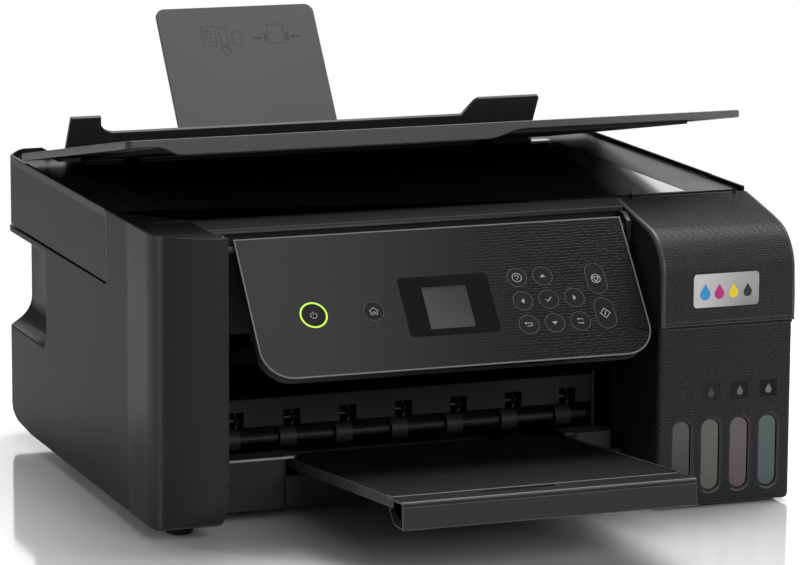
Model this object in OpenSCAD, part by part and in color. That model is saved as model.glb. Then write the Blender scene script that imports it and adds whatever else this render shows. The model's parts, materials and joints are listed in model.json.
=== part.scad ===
// Inkjet printer with refillable ink tanks, flatbed scanner, tilting control panel, rear paper feed
// and pull-out output tray. X runs left to right, Y front to back, Z up, all in millimetres. Inside
// the modules Y = 0 is the front plane of the case, and placed() centres the whole printer on Y.

/* [Case] */
// Width over the side covers
body_w = 375; // [370:1:380]
// Depth of the lower case from the front plane to its back
case_d = 325; // [320:1:335]
// Height of the rim round the scanner deck
rim_z = 173; // [171:1:175]
// Height of the side covers under the scanner
case_top = 130; // [128:1:131]
// Thickness of the moulded walls
wall = 2.5; // [2:0.1:3]
// Height of the rubber feet
foot_h = 8; // [7:0.5:9]
// Radius of the rubber feet
foot_r = 8; // [6:0.5:10]
// Width of the front column at the left
column_w = 36.5; // [34:0.5:39]
// Radius of the column's upright corner
corner_r = 34; // [24:1:34]
// Place of the upright seam between column and scanner
seam_y = 110; // [100:1:120]
// Gap at the seams round the scanner
seam_gap = 1.4; // [1.2:0.1:1.8]

/* [Ink tank unit] */
// Width of the ink tank unit at the right
tank_w = 83.5; // [82:0.5:88]
// Height of its fixed lower housing
tank_top = 106.5; // [104:0.5:109]
// Depth of the unit
tank_d = 66; // [64:1:68]
// Distance between two tanks
tank_pitch = 18; // [17.5:0.1:18.5]
// Width of each ink window
window_w = 11.5; // [9:0.5:12.5]
// Height of each ink window
window_h = 41.8; // [30:0.2:46]
// Width of each label recess
label_w = 11; // [8:0.5:12]
// Radius of the cover's rounded front
cover_r = 28; // [22:1:32]
// Radius of each filler neck
neck_r = 5; // [4:0.5:6]

/* [Control panel] */
// Width of the control panel
panel_w = 232; // [228:1:234]
// Length of its sloping face
panel_l = 93; // [88:1:96]
// Slope of the face away from upright
panel_tilt = 39.3; // [30:0.1:45]
// Thickness of the front plate
fascia_t = 2.5; // [2:0.1:3]
// Thickness of the back shell
shell_t = 6; // [5.5:0.5:8]
// Radius of the lower corners
panel_r = 18; // [10:1:22]
// Radius of a round button
button_r = 6; // [5:0.1:6.3]
// Radius of the power button
power_r = 7.4; // [6:0.1:8]
// Distance between buttons
button_pitch = 15.6; // [15:0.1:16]
// Distance between rows of buttons
row_pitch = 15; // [14.8:0.1:15.4]
// Height of the two long buttons
long_h = 19.8; // [16:0.2:20]
// Side of the square display
lcd_w = 27; // [22:0.5:30]
// Travel of a button
button_travel = 0.6; // [0.4:0.1:0.8]

/* [Scanner and document cover] */
// Length of the glass, left to right
glass_w = 302; // [296:1:310]
// Depth of the glass, front to back
glass_d = 210; // [204:1:212]
// Thickness of the glass
glass_t = 3; // [2:0.5:3]
// Depth of the document cover in front of its hinge
lid_d = 220; // [218:1:221]
// Thickness of the document cover
lid_t = 4.4; // [4:0.1:5]
// Drop of the lip at the front of the cover
lip_drop = 5; // [3:0.5:5]
// Rise of the lip round the scanner's back corners
corner_lip = 2.2; // [1:0.1:3]
// Angle at which the document cover stands open
lid_open = 10.3; // [5:0.1:20]

/* [Rear paper feed] */
// Slope of the paper support away from upright
feed_lean = 35.7; // [34:0.1:37]
// Width of the paper support
support_w = 104.4; // [96:0.2:108]
// Length of the paper support that stands out
support_out = 81; // [70:1:90]
// Thickness of the paper support
support_t = 2.5; // [2:0.1:3]
// Width of the feeder guard
guard_w = 306; // [300:1:308]
// Height of the guard's ears above its hinge
guard_ear = 29.6; // [24:0.2:31]
// Height of the guard between its ears
guard_mid = 16.8; // [12:0.2:20]
// Angle at which the guard leans forward
guard_lean = 31; // [25:1:31]
// Width of the paper between the edge guides
paper_w = 210; // [180:1:216]

/* [Output tray] */
// Width of the output tray
tray_w = 168.6; // [160:0.2:171]
// Reach of the tray in front of the case
tray_out = 125; // [110:1:130]
// Length of the tray
tray_l = 195; // [180:1:198]
// Thickness of the tray
tray_t = 5; // [4.5:0.1:5.2]
// Rise of the tray towards the front
tray_rise = 5.3; // [4.9:0.1:5.6]
// Height of the tray's front lip
lip_h = 15; // [10:0.5:16]

/* [Print mechanism] */
// Width of the carriage
carriage_w = 70; // [60:1:72]
// Radius of the feed roller
feed_r = 5; // [4.5:0.1:5.5]
// Radius of the exit roller's rubber rings
exit_r = 6; // [5:0.1:6.3]
// Radius of a star wheel
star_r = 5; // [4:0.1:5.5]
// Radius of the pickup roller
pickup_r = 14; // [12:0.5:14]
// Radius of the belt pulleys
pulley_r = 6; // [5:0.1:7]

/* [Hidden] */
$fn = 48;

slack = 0.3;      // gap that keeps parts of different bodies clear
run_fit = 0.08;   // radial play of a pin in its bore
floor_t = 3;      // thickness of the base floor
rim_t = 2;        // thickness and height of the rim
charcoal = "#2c2d2f";
graphite = "#3c3d40";
ink = [[0.13, 0.13, 0.14], [0.55, 0.53, 0.35], [0.55, 0.38, 0.45], [0.35, 0.48, 0.55]];

// places across the printer
x_l = -body_w / 2;
x_r = body_w / 2;
col_x = x_l + column_w;
tank_x = x_r - tank_w;
open_x = (col_x + tank_x) / 2;
print_x = [col_x + 5, tank_x - 4.5];  // left frame and middle frame
feed_x = (print_x[0] + print_x[1]) / 2 + 1.9; // middle of the paper path

// heights
case_z = foot_h;
floor_z = case_z + floor_t;
deck_z = rim_z - rim_t;
band_z = deck_z - 3;
scan_z = case_top + 1.2;

// front to back
band_y = [tank_d - 14, tank_d + 1.2];
groove_y = band_y[1] - 1.7;           // front of the groove that takes the lip of the cover
scan_y = band_y[1] + seam_gap;

glass_y = scan_y + 3.4;
scan_back = glass_y + glass_d + 10;   // back of the scanner between its side blocks
scan_end = case_d - 1;                // back of the side blocks
guard_y = scan_back + 22;             // hinge of the feeder guard

// scanner hinge, lid hinge, feeder guard hinge
lift_axis = [scan_end - 6, 150];
lid_axis = [scan_back - 5, rim_z + 0.6];
guard_axis = [guard_y, rim_z - 2];
pin_r = 3;
lug_x = [x_r - 31, x_r - 26];

// control panel: top edge of the face
panel_x = open_x + 5.5;
panel_y = band_y[0] - 8;
panel_z = band_z - 4.3;
panel_axis_in = 4.2;                  // hinge axis below the top edge and behind the face
panel_pin_r = 2;

// sloping feed plane
feed_y = scan_back + 44;
feed_z = rim_z + 10;
plate_t = 2;
plate_side = 15;                      // plate beside the sheet on each side
plate_w = paper_w + 2 * plate_side;

// mechanism
feed_axis = [195, 47];
exit_axis = [95, 38];
star_axis = [exit_axis[0], exit_axis[1] + exit_r + star_r + slack];
rail_y = 206;
rail_t = 1.5;
belt_z = 90;
belt_w = 6;
belt_t = 1.2;
pulley_x = [print_x[0] + 10, x_r - 17.5];
home_x = x_r - 45.5;

tray_x = open_x + 10.3;
tray_z = 51;
tray_end = [tray_l * cos(tray_rise) - tray_out, tray_z - tray_l * sin(tray_rise)];

back_y = feed_y + support_out * sin(feed_lean);
back_end = back_y + support_t / 2 * cos(feed_lean);
front_end = -tray_out - lip_h * sin(tray_rise);
y_mid = (front_end + back_end) / 2;

module placed() { translate([0, -y_mid, 0]) children(); }

// points on an arc of radius r about c, from angle a0 to a1
function arc(c, r, a0, a1, n = 12) =
  [for (i = [0:n]) let (a = a0 + (a1 - a0) * i / n) [c[0] + r * cos(a), c[1] + r * sin(a)]];

// a box from its spans along X, Y and Z
module span(x, y, z) {
  translate([x[0], y[0], z[0]]) cube([x[1] - x[0], y[1] - y[0], z[1] - z[0]]);
}

// a round bar along X through the point p = [y, z]
module rod(x, p, r) {
  translate([x[0], p[0], p[1]]) rotate([0, 90, 0]) cylinder(h = x[1] - x[0], r = r);
}

// a profile in Y and Z drawn out along X, and one in X and Z drawn out along Y
module along_x(x) { translate([x[0], 0, 0]) rotate([90, 0, 90]) linear_extrude(x[1] - x[0]) children(); }
module along_y(y) { translate([0, y[1], 0]) rotate([90, 0, 0]) linear_extrude(y[1] - y[0]) children(); }

// a rectangle with rounded corners about the origin, and an upright slot with round ends
module rounded(w, h, r) {
  square([w - 2 * r, h], center = true);
  square([w, h - 2 * r], center = true);
  for (x = [-1, 1], y = [-1, 1]) translate([x * (w / 2 - r), y * (h / 2 - r)]) circle(r);
}
module slot(w, h) {
  square([w, h - w], center = true);
  for (y = [-1, 1]) translate([0, y * (h - w) / 2]) circle(w / 2);
}

// ---------------------------------------------------------------- lower case

grip_y = 236;     // front of the hand grips scooped out of the sides
grip_z = [68, case_top - 4];
grip_d = 16;      // their depth
back_z = 99;      // top of the back cover, where the paper feed begins
heel = 28;        // radius of the lower back edge
belly = [24, 30]; // how far the front curves back and up from the bottom edge
foot_x = body_w / 2 - 22;
foot_y = [46, 248];

// side view of the case, drawn in by t
function side_profile(t) = concat(
  [for (i = [0:10]) let (a = 9 * i) [belly[0] - (belly[0] - t) * sin(a),
    case_z + belly[1] - (belly[1] - t) * cos(a)]],
  [[t, rim_z], [seam_y, rim_z], [seam_y, case_top], [case_d - t, case_top]],
  arc([case_d - heel, case_z + 2 + heel], heel - t, 0, -90, 8),
  [[case_d - heel - 25, case_z + t]]);

// hollow of a hand grip, grown by t: a curved ledge below, an upright wall behind, open at the back
module grip(t) {
  r = grip_d;
  intersection() {
    along_y([grip_y - t, case_d + 1]) polygon(concat(
      [[x_l - 1, grip_z[0] - t]],
      arc([x_l, grip_z[0] + r], r + t, 270, 360, 8),
      [[x_l + r + t, grip_z[1] + t], [x_l - 1, grip_z[1] + t]]));
    along_x([x_l - 2, x_l + r + t + 1]) polygon(concat(
      [[case_d + 2, grip_z[0] - t]],
      arc([grip_y + 9, grip_z[0] + 9], 9 + t, 270, 180, 6),
      [[grip_y - t, grip_z[1] + t], [case_d + 2, grip_z[1] + t]]));
  }
}

// plan of one side cover with its rounded corners, drawn in by t
module side_plan(t) {
  polygon(concat(
    arc([x_l + corner_r, corner_r], corner_r - t, 270, 180, 14),
    arc([x_l + 12, case_d - 12], 12 - t, 180, 90, 5),
    [[col_x - t, case_d - t], [col_x - t, t]]));
}

module side_shell() {
  difference() {
    intersection() {
      linear_extrude(rim_z) side_plan(0);
      along_x([x_l, col_x]) polygon(side_profile(0));
    }
    // hollow behind the column, open towards the middle of the printer
    difference() {
      intersection() {
        translate([0, 0, case_z + wall]) linear_extrude(rim_z) {
          side_plan(wall);
          translate([x_l + wall + 12, band_y[1]]) square([column_w, case_d - wall - band_y[1]]);
        }
        union() {
          along_x([x_l, col_x + 1]) polygon(side_profile(wall));
          span([x_l, col_x + 1], [band_y[1], case_d - wall], [60, rim_z + 1]);
        }
      }
      grip(wall);
      span([x_l, col_x + 1], [-1, band_y[1]], [band_z - wall - 0.2, rim_z + 1]);
    }
    grip(0);
    // room for the end walls of the paper feed
    span([-lug_x[1] - 1, col_x + 1], [scan_back - 2, case_d + 1], [back_z, rim_z + 1]);
    // sunk top inside the rim, and the clear space under the lip of the document cover
    translate([0, 0, deck_z]) linear_extrude(rim_t + 1) {
      intersection() {
        side_plan(rim_t);
        translate([x_l, 0]) square([column_w, band_y[1]]);
      }
      translate([col_x - rim_t - 1, rim_t]) square([rim_t + 2, band_y[1]]);
    }
    span([lip_x[0] - 2, col_x + 1], [groove_y, band_y[1] + 1], [band_z, rim_z]);
  }
}

module left_cover() {
  color(charcoal) placed() side_shell();
}

module right_cover() {
  color(charcoal) placed() difference() {
    mirror([1, 0, 0]) side_shell();
    span([x_r - column_w - 1, x_r + 1], [-1, band_y[1]], [0, rim_z + 1]);
  }
}

slot_x = [tray_x - tray_w / 2 - 3, tray_x + tray_w / 2 + 1.5]; // passage of the tray between the blocks
rail_h = 0.8;                                                  // rails on the tray's edges

// height of the sloping tray's top at the place y
function tray_top(y) = tray_z - (y + tray_out) * tan(tray_rise);

module base_pan() {
  front_y = band_y[0] - 2;
  block_z = 38;
  color(charcoal) placed() {
    difference() {
      union() {
        // floor, front wall and the blocks beside the tray
        span([col_x + slack, tank_x - slack], [front_y, band_y[1] + slack], [case_z, floor_z]);
        span([col_x + slack, -col_x - slack], [band_y[1] + slack, case_d - wall - slack], [case_z, floor_z]);
        span([col_x + slack, tank_x - slack], [front_y, front_y + wall], [case_z, 26]);
        for (x = [[col_x + 4, slot_x[0]], [slot_x[1], tank_x - 6]])
          translate([0, 0, case_z]) linear_extrude(block_z - case_z)
            translate([(x[0] + x[1]) / 2, front_y + 5]) rounded(x[1] - x[0], 15, 5);
      }
      for (x = [[col_x + 4, slot_x[0]], [slot_x[1], tank_x - 6]])
        span([x[0] + wall, x[1] - wall], [front_y, front_y + 10], [floor_z, block_z - wall]);
    }
    // sloping runners under the tray, and keepers over its edges
    for (x = [tray_x - tray_w / 2 + 4, tray_x + tray_w / 2 - 7]) along_x([x, x + 3])
      polygon([[front_y + 1, floor_z - 1], [front_y + 1, tray_top(front_y + 1) - tray_t / cos(tray_rise) - slack],
        [170, tray_top(170) - tray_t / cos(tray_rise) - slack], [170, floor_z - 1]]);
    for (s = [-1, 1]) {
      edge = tray_x + s * tray_w / 2;
      side = s < 0 ? slot_x[0] : slot_x[1];
      span([min(edge - 3 * s, side + 3 * s), max(edge - 3 * s, side + 3 * s)], [front_y, front_y + 12],
        [tray_top(front_y) + rail_h + slack, block_z]);
    }
    // stiffening ribs across the floor
    for (y = [120, 160]) span([print_x[0] + 10, print_x[1] - 8], [y, y + 2], [floor_z, floor_z + 1.5]);
  }
}

module rubber_feet() {
  color("#1b1b1c") placed()
    for (x = [-foot_x, foot_x], y = foot_y)
      translate([x, y, 0]) {
        cylinder(h = 2, r1 = foot_r - 1, r2 = foot_r);
        translate([0, 0, 2]) cylinder(h = case_z - 2, r = foot_r);
      }
}

module rear_cover() {
  color(charcoal) placed() {
    along_y([case_d - wall, case_d]) difference() {
      polygon([[col_x + slack, floor_z + slack], [-col_x - slack, floor_z + slack],
        [-col_x - slack, back_z], [col_x + slack, back_z]]);
      translate([inlet_x, inlet_z]) square([26.6, 20.6], center = true);
      translate([port_x, port_z]) square([14.6, 13.6], center = true);
      // cooling slots
      for (i = [0:11]) translate([print_x[0] + 76 + 9 * i, 45]) slot(3, 34);
    }
    // baffle behind the slots, open at its foot
    difference() {
      span([print_x[0] + 70.5, print_x[0] + 180.5], [case_d - wall - 8, case_d - wall + 0.1], [22, 68]);
      span([print_x[0] + 72, print_x[0] + 179], [case_d - wall - 6.5, case_d], [21, 66.5]);
    }
  }
}

// band above the control panel with the cheeks that carry it
module front_band() {
  cheek_l = panel_x - panel_w / 2 - 4;
  cheek_r = panel_x + panel_w / 2 + 2.5;
  strip_z = band_z - 2.5;
  p = panel_hinge;
  color(graphite) placed() difference() {
    union() {
      along_x([col_x + slack, tank_x - slack])
        polygon([[band_y[0], band_z], [groove_y, deck_z], [groove_y, band_z], [band_y[1], band_z],
          [band_y[1], 106], [band_y[1] - wall, 106], [band_y[1] - wall, 112], [band_y[0] + 5, strip_z - 8],
          [band_y[0] + 3, strip_z], [band_y[0], strip_z]]);
      translate([0, 0, 100]) linear_extrude(strip_z - 100)
        polygon([[col_x + slack, 8], [cheek_l, 46], [cheek_l, band_y[1]], [col_x + slack, band_y[1]]]);
      along_x([cheek_r, tank_x - slack])
        polygon([[p[0] - 5, p[1] - 5], [p[0] - 5, p[1] + 4], [p[0] + 2, strip_z], [band_y[1], strip_z],
          [band_y[1], 112], [p[0] + 6, 120]]);
    }
    // hollow behind the panel, and the bores for its hinge pins
    along_x([cheek_l + 1, cheek_r - 1])
      polygon([[band_y[0] + 8, strip_z - 8], [band_y[0] + 6, band_z - wall], [band_y[1] - wall, band_z - wall],
        [band_y[1] - wall, 122]]);
    rod([cheek_l - 8, tank_x + 1], p, panel_pin_r + run_fit);
  }
}

// ---------------------------------------------------------------- ink tank unit

tank_x0 = tank_x + 15;
window_z = 10 + window_h / 2;
label_z = 67.3;
tank_floor = case_z + 2;
neck_y = 26;
neck_z = tank_top + 5;
cap_axis = [neck_y + 17, tank_top + 4.5];
cover_axis = [tank_d - 3.2, deck_z - 3.8];
post_x = [4, 8]; // hinge posts, measured in from both sides of the unit

tank_base = 2;      // underside of the housing above the table

module tank_housing() {
  color(charcoal) placed() {
    difference() {
      union() {
        intersection() {
          linear_extrude(tank_top) translate([(tank_x + x_r) / 2, tank_d / 2]) rounded(tank_w, tank_d, 3);
          along_y([-1, tank_d + 1]) polygon(concat([[tank_x - 1, tank_top + 1], [tank_x - 1, tank_base]],
            arc([x_r - 4, tank_base + 4], 4, -90, 0, 6), [[x_r + 1, tank_base + 4], [x_r + 1, tank_top + 1]]));
        }
        for (s = [0, 1]) mirror_about(s) along_x([tank_x + post_x[0], tank_x + post_x[1]])
          polygon([[tank_d - 12, tank_top], [tank_d - 1, tank_top], [tank_d - 1, cover_axis[1]],
            [cover_axis[0], cover_axis[1] + 1.2], [cover_axis[0] - 2, cover_axis[1]]]);
      }
      span([tank_x + wall, x_r - wall], [wall, tank_d - wall], [tank_floor, tank_top - wall]);
      translate([foot_x, foot_y[0], 0]) cylinder(h = case_z, r = foot_r + slack);
      for (i = [0:3]) translate([tank_x0 + i * tank_pitch, 0, 0]) {
        along_y([-1, wall + 1]) translate([0, window_z]) slot(window_w, window_h);
        along_y([-1, 0.4]) translate([0, label_z]) rounded(label_w, label_w - 0.4, 1);
        translate([0, neck_y, tank_top - wall - 1]) cylinder(h = wall + 2, r = neck_r + 0.4);
      }
    }
    // pins of the big cover and of the four caps
    for (s = [0, 1]) mirror_about(s) rod([tank_x + 0.8, tank_x + post_x[0] + 1], cover_axis, 1.2);
    for (i = [0:3]) translate([tank_x0 + i * tank_pitch, 0, 0]) {
      for (s = [-1, 1]) translate([s * 6.4 - 0.8, 0, 0]) along_x([0, 1.6])
        polygon(concat([[cap_axis[0] - 3, tank_top], [cap_axis[0] + 3, tank_top]],
          arc(cap_axis, 2.4, 0, 180, 8)));
      rod([-6, 6], cap_axis, 1.2);
    }
  }
}

// draws the children, or their mirror image across the tank unit
module mirror_about(s) {
  if (s == 0) children();
  else translate([tank_x + x_r, 0, 0]) mirror([1, 0, 0]) children();
}

module ink_tank(i) {
  w = tank_pitch - 1.6;
  color(ink[i]) translate([tank_x0 + i * tank_pitch, 0, 0]) difference() {
    union() {
      span([-w / 2, w / 2], [wall + slack, tank_d - wall - 2], [tank_floor + slack, tank_top - wall - 1]);
      along_y([1, wall + 1]) translate([0, window_z]) slot(window_w - 1, window_h - 1);
      translate([0, neck_y, tank_top - wall - 2]) cylinder(h = neck_z - tank_top + wall + 2, r = neck_r);
    }
    translate([0, neck_y, tank_top - 12]) cylinder(h = 20, r = neck_r - 1.3);
  }
}

module ink_tanks() {
  placed() for (i = [0:3]) ink_tank(i);
}

// a filler cap that turns about a pin behind its neck
module cap(i) {
  top = neck_z + 5;
  arm_w = 9;
  color(ink[i]) placed() translate([tank_x0 + i * tank_pitch, 0, 0]) difference() {
    union() {
      translate([0, neck_y, neck_z + slack]) cylinder(h = top - neck_z, r = neck_r + 2.2);
      translate([0, neck_y, neck_z - 1.6]) cylinder(h = 3, r = neck_r - 2.4);
      along_x([-arm_w / 2, arm_w / 2])
        polygon(concat([[neck_y, top + slack], [neck_y, neck_z + slack], [neck_y + neck_r + 3, neck_z + slack]],
          arc(cap_axis, 3.2, 225, 405, 10)));
      along_x([-4, 4]) polygon([[neck_y - neck_r - 5, neck_z + 2.5], [neck_y - neck_r, neck_z + 2.5],
        [neck_y - neck_r, top + slack], [neck_y - neck_r - 5, top - 1]]);
    }
    rod([-arm_w / 2 - 1, arm_w / 2 + 1], cap_axis, 1.2 + run_fit);
  }
}
module cap_black() { cap(0); }
module cap_yellow() { cap(1); }
module cap_magenta() { cap(2); }
module cap_cyan() { cap(3); }

// outer profile of the big cover, drawn in by t: upright front, round shoulder, sloping top
front_y = -3;
top_slope = 12.2;
shoulder = [front_y + cover_r,
  deck_z + 0.3 - (tank_d - front_y - cover_r) * tan(top_slope) - cover_r / cos(top_slope)];
function cover_profile(t) = concat(
  [[front_y + t, tank_top + slack]],
  arc(shoulder, cover_r - t, 180, 90 + top_slope, 12),
  [[tank_d - 2, deck_z - 0.2 - t], [tank_d, deck_z - 1.2 - t], [tank_d, tank_top + slack]]);

module tank_cover() {
  color(graphite) placed() difference() {
    along_x([tank_x, x_r]) polygon(cover_profile(0));
    along_x([tank_x + wall, x_r - wall]) polygon(concat(
      [[front_y + wall, tank_top - 1]],
      arc(shoulder, cover_r - wall, 180, 90 + top_slope, 12),
      [[tank_d - 2, deck_z - 0.4 - wall], [tank_d + 1, deck_z - 0.4 - wall], [tank_d + 1, tank_top - 1]]));
    // hinge bores in the side walls, open space round the posts
    rod([tank_x - 1, x_r + 1], cover_axis, 1.2 + run_fit);
    for (s = [0, 1]) mirror_about(s)
      span([tank_x + wall, tank_x + post_x[1] + 1], [tank_d - 8, tank_d + 1], [tank_top, deck_z - 1.6]);
    span([tank_x + wall + 1, x_r - wall - 1], [front_y - 1, front_y + 1.2], [tank_top - 1, tank_top + 2.5]);
  }
}

// ---------------------------------------------------------------- print mechanism

frame_r = print_x[1];  // middle frame
rail_x = [print_x[0], x_r - wall - 1.5];
slot_pitch = (rail_x[1] - rail_x[0] - 77.5) / 9;

module frame_plate(x, pts) {
  along_x([x, x + rail_t]) polygon(pts);
}

module chassis() {
  color("#8d9194") placed() {
    difference() {
      union() {
        // back plate with the folded guide rail on top
        span(rail_x, [rail_y, rail_y + rail_t], [58, 118]);
        span(rail_x, [rail_y - 7, rail_y + rail_t], [118, 118 + rail_t]);
        span(rail_x, [rail_y, rail_y + 10], [56.5, 58]);
        frame_plate(rail_x[0], [[84, floor_z], [215, floor_z], [215, 112], [180, 119.5], [120, 112],
          [112, 70], [84, 68]]);
        frame_plate(rail_x[1] - rail_t, [[120, case_z + wall], [215, case_z + wall], [215, 119.5], [180, 119.5],
          [130, 100]]);
        frame_plate(frame_r, [[84, floor_z], [rail_y + rail_t, floor_z], [rail_y + rail_t, 60], [186, 57],
          [180, 42], [112, 42], [108, 66], [84, 66]]);
      }
      for (x = [rail_x[0] - 1, frame_r - 1]) {
        rod([x, x + 4], feed_axis, 3 + run_fit);
        rod([x, x + 4], exit_axis, 2.5 + run_fit);
      }
      for (i = [0:8]) let (x = rail_x[0] + 36 + slot_pitch * i)
        span([x, x + 12], [rail_y - 1, rail_y + 3], [66, 76]);
      translate([pulley_x[1], rail_y - 1, belt_z]) rotate([-90, 0, 0]) cylinder(h = 4, r = 3);
    }
    // post for the idler pulley
    translate([pulley_x[0], rail_y - 9, belt_z]) rotate([-90, 0, 0]) cylinder(h = 9.2, r = 1.5);
  }
}

platen_pitch = (print_x[1] - print_x[0] - 32.1) / 11;

module platen() {
  color(charcoal) placed() {
    span([print_x[0] + rail_t + slack, frame_r - slack], [128, 180], [38, 41]);
    for (i = [0:11]) let (x = print_x[0] + 18 + platen_pitch * i)
      span([x, x + 1.6], [130, 178], [41, 45.5]);
    for (y = [128, 178]) span([print_x[0] + rail_t + slack, frame_r - slack], [y, y + 2], [30, 41]);
  }
}

// an involute-like spur wheel drawn as trapezium teeth on a root circle
module gear(teeth, r, h) {
  linear_extrude(h) {
    circle(r - 1.2);
    for (i = [0:teeth - 1]) rotate(360 * i / teeth)
      polygon([[r - 1.5, -1], [r + 0.8, -0.4], [r + 0.8, 0.4], [r - 1.5, 1]]);
  }
}

module feed_roller() {
  color("#55585c") placed() {
    rod([print_x[0] + rail_t + 0.5, frame_r - 0.5], feed_axis, feed_r);
    rod([print_x[0] - 12, frame_r + rail_t + 2], feed_axis, 3);
    translate([print_x[0] - 10, feed_axis[0], feed_axis[1]]) rotate([0, 90, 0]) gear(36, 18, 6);
  }
}

roller_pitch = (print_x[1] - print_x[0] - 41.5) / 6;
roller_x = [for (i = [0:6]) print_x[0] + 26 + roller_pitch * i];

module exit_roller() {
  color("#2a2a2b") placed() {
    rod([print_x[0] - 12, frame_r + rail_t + 2], exit_axis, 2.5);
    for (x = roller_x) rod([x - 5, x + 5], exit_axis, exit_r);
    translate([print_x[0] - 10, exit_axis[0], exit_axis[1]]) rotate([0, 90, 0]) gear(24, 12, 6);
  }
}

// beam over the exit roller: a channel whose front shows in the output opening
module star_wheel_bar() {
  z = star_axis[1];
  x = [print_x[0] + rail_t, frame_r];
  color(charcoal) placed() difference() {
    union() {
      span(x, [84, 108], [z + 12, z + 14.5]);
      span(x, [84, 86], [z - 2, z + 12]);
      span(x, [106, 108], [z - 4, z + 12]);
      for (c = roller_x, s = [-1, 1]) span([c + s * 8 - 1, c + s * 8 + 1], [86, 106], [z - 2.5, z + 12]);
    }
    for (c = roller_x) span([c - 5, c + 5], [83, 87], [z - 3, z + 7]);
    rod([x[0] - 1, roller_x[6] + 8], star_axis, 1.2 + run_fit);
  }
}

module star_wheels() {
  points = 20;
  color("#b8bcc0") placed() {
    rod([roller_x[0] - 12, roller_x[6] + 7.5], star_axis, 1.2);
    for (x = roller_x, s = [-1, 1]) translate([x + 3 * s - 0.4, star_axis[0], star_axis[1]])
      rotate([0, 90, 0]) linear_extrude(0.8)
        polygon([for (i = [0:2 * points - 1]) let (r = i % 2 == 0 ? star_r : star_r - 1.1)
          [r * cos(180 * i / points), r * sin(180 * i / points)]]);
  }
}

carriage_x = [home_x - carriage_w / 2, home_x + carriage_w / 2];

module carriage() {
  color("#26272a") placed() difference() {
    union() {
      along_x(carriage_x) polygon([[122, 62], [196, 62], [196, 108], [190, 112], [128, 112], [122, 100]]);
      // shoes that run along the rail and clip the belt
      for (x = [carriage_x[0] + 6, carriage_x[1] - 18])
        span([x, x + 12], [195, rail_y - slack], [64, 74]);
      span([home_x - 8, home_x + 8], [195, rail_y - 9 - slack], [80, 100]);
    }
    // four wells for the ink dampers
    for (i = [0:3]) damper(i, 0);
  }
}

module damper(i, t) {
  span([carriage_x[0] + 4 + 16 * i + t, carriage_x[0] + 17 + 16 * i - t], [132 + t, 186 - t], [80 + t, 113 - 3 * t]);
}

module print_head() {
  color("#6d7174") placed() {
    span([home_x - 22, home_x + 22], [138, 172], [52, 62]);
    span([home_x - 18, home_x + 18], [141, 169], [47.2, 52]);
    for (i = [0:3]) damper(i, slack);
  }
}

belt_y = [rail_y - 8, rail_y - 8 + belt_w];

module belt_loop(r) {
  for (x = pulley_x) translate([x, belt_z]) circle(r);
  translate([pulley_x[0], belt_z - r]) square([pulley_x[1] - pulley_x[0], 2 * r]);
}

module drive_belt() {
  color("#1a1a1a") placed() along_y(belt_y) difference() {
    belt_loop(pulley_r + 0.15 + belt_t);
    belt_loop(pulley_r + 0.15);
  }
}

module pulley(x) {
  translate([x, belt_y[0] + slack, belt_z]) rotate([-90, 0, 0]) cylinder(h = belt_w - 2 * slack, r = pulley_r);
}

module motor_pulley() {
  color("#c9b36a") placed() {
    pulley(pulley_x[1]);
    translate([pulley_x[1], belt_y[0], belt_z]) rotate([-90, 0, 0]) cylinder(h = 20, r = 1.5);
  }
}

module idler_pulley() {
  color("#dddddd") placed() difference() {
    pulley(pulley_x[0]);
    translate([pulley_x[0], belt_y[0] - 1, belt_z]) rotate([-90, 0, 0])
      cylinder(h = belt_w + 2, r = 1.5 + run_fit);
  }
}

module carriage_motor() {
  color("#9a9da0") placed() difference() {
    translate([pulley_x[1], rail_y + rail_t, belt_z]) rotate([-90, 0, 0]) {
      cylinder(h = 22, r = 11);
      translate([0, 0, 22]) cylinder(h = 2, r = 4);
    }
    translate([pulley_x[1], rail_y, belt_z]) rotate([-90, 0, 0]) cylinder(h = 18, r = 1.5 + run_fit);
  }
}

module capping_station() {
  x = [home_x - 27, home_x + 27];
  color(charcoal) placed() difference() {
    union() {
      span(x, [134, 178], [floor_z, 36]);
      span([x[0] + 5, x[1] - 5], [139, 173], [36, 45.8]);
    }
    for (i = [0, 1]) span([x[0] + 9 + 20 * i, x[0] + 25 + 20 * i], [143, 169], [43, 46]);
  }
}

module waste_ink_pad() {
  color("#d8d5cc") placed() span([print_x[0] + 86, print_x[1] - 11.5], [rail_y + 16, case_d - 23], [floor_z, 26]);
}

inlet_x = print_x[0] + 18;
inlet_z = 34;
port_x = tank_x + 20;
supply_x = [print_x[0] + 4, print_x[0] + 68];
supply_y = [rail_y + 16, case_d - 15];
port_z = 38;

module power_supply() {
  color("#3a3b3d") placed() {
    difference() {
      span(supply_x, supply_y, [floor_z, 60]);
      for (i = [0:7]) span([supply_x[0] + 6 + 7 * i, supply_x[0] + 9 + 7 * i], [supply_y[0] + 8, supply_y[1] - 10], [58, 61]);
    }
    // two-pin mains inlet that shows in the back cover
    difference() {
      span([inlet_x - 13, inlet_x + 13], [supply_y[1], case_d - 0.5], [inlet_z - 10, inlet_z + 10]);
      along_y([case_d - 10, case_d]) translate([inlet_x, inlet_z]) rounded(19, 11, 5.4);
    }
    for (s = [-1, 1]) translate([inlet_x + 4.3 * s, case_d - 11, inlet_z]) rotate([-90, 0, 0])
      cylinder(h = 8, r = 1.2, $fn = 16);
  }
}

board_x = [tank_x - 8, x_r - 37.5];
board_y = [rail_y + 6, case_d - 13];

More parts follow.
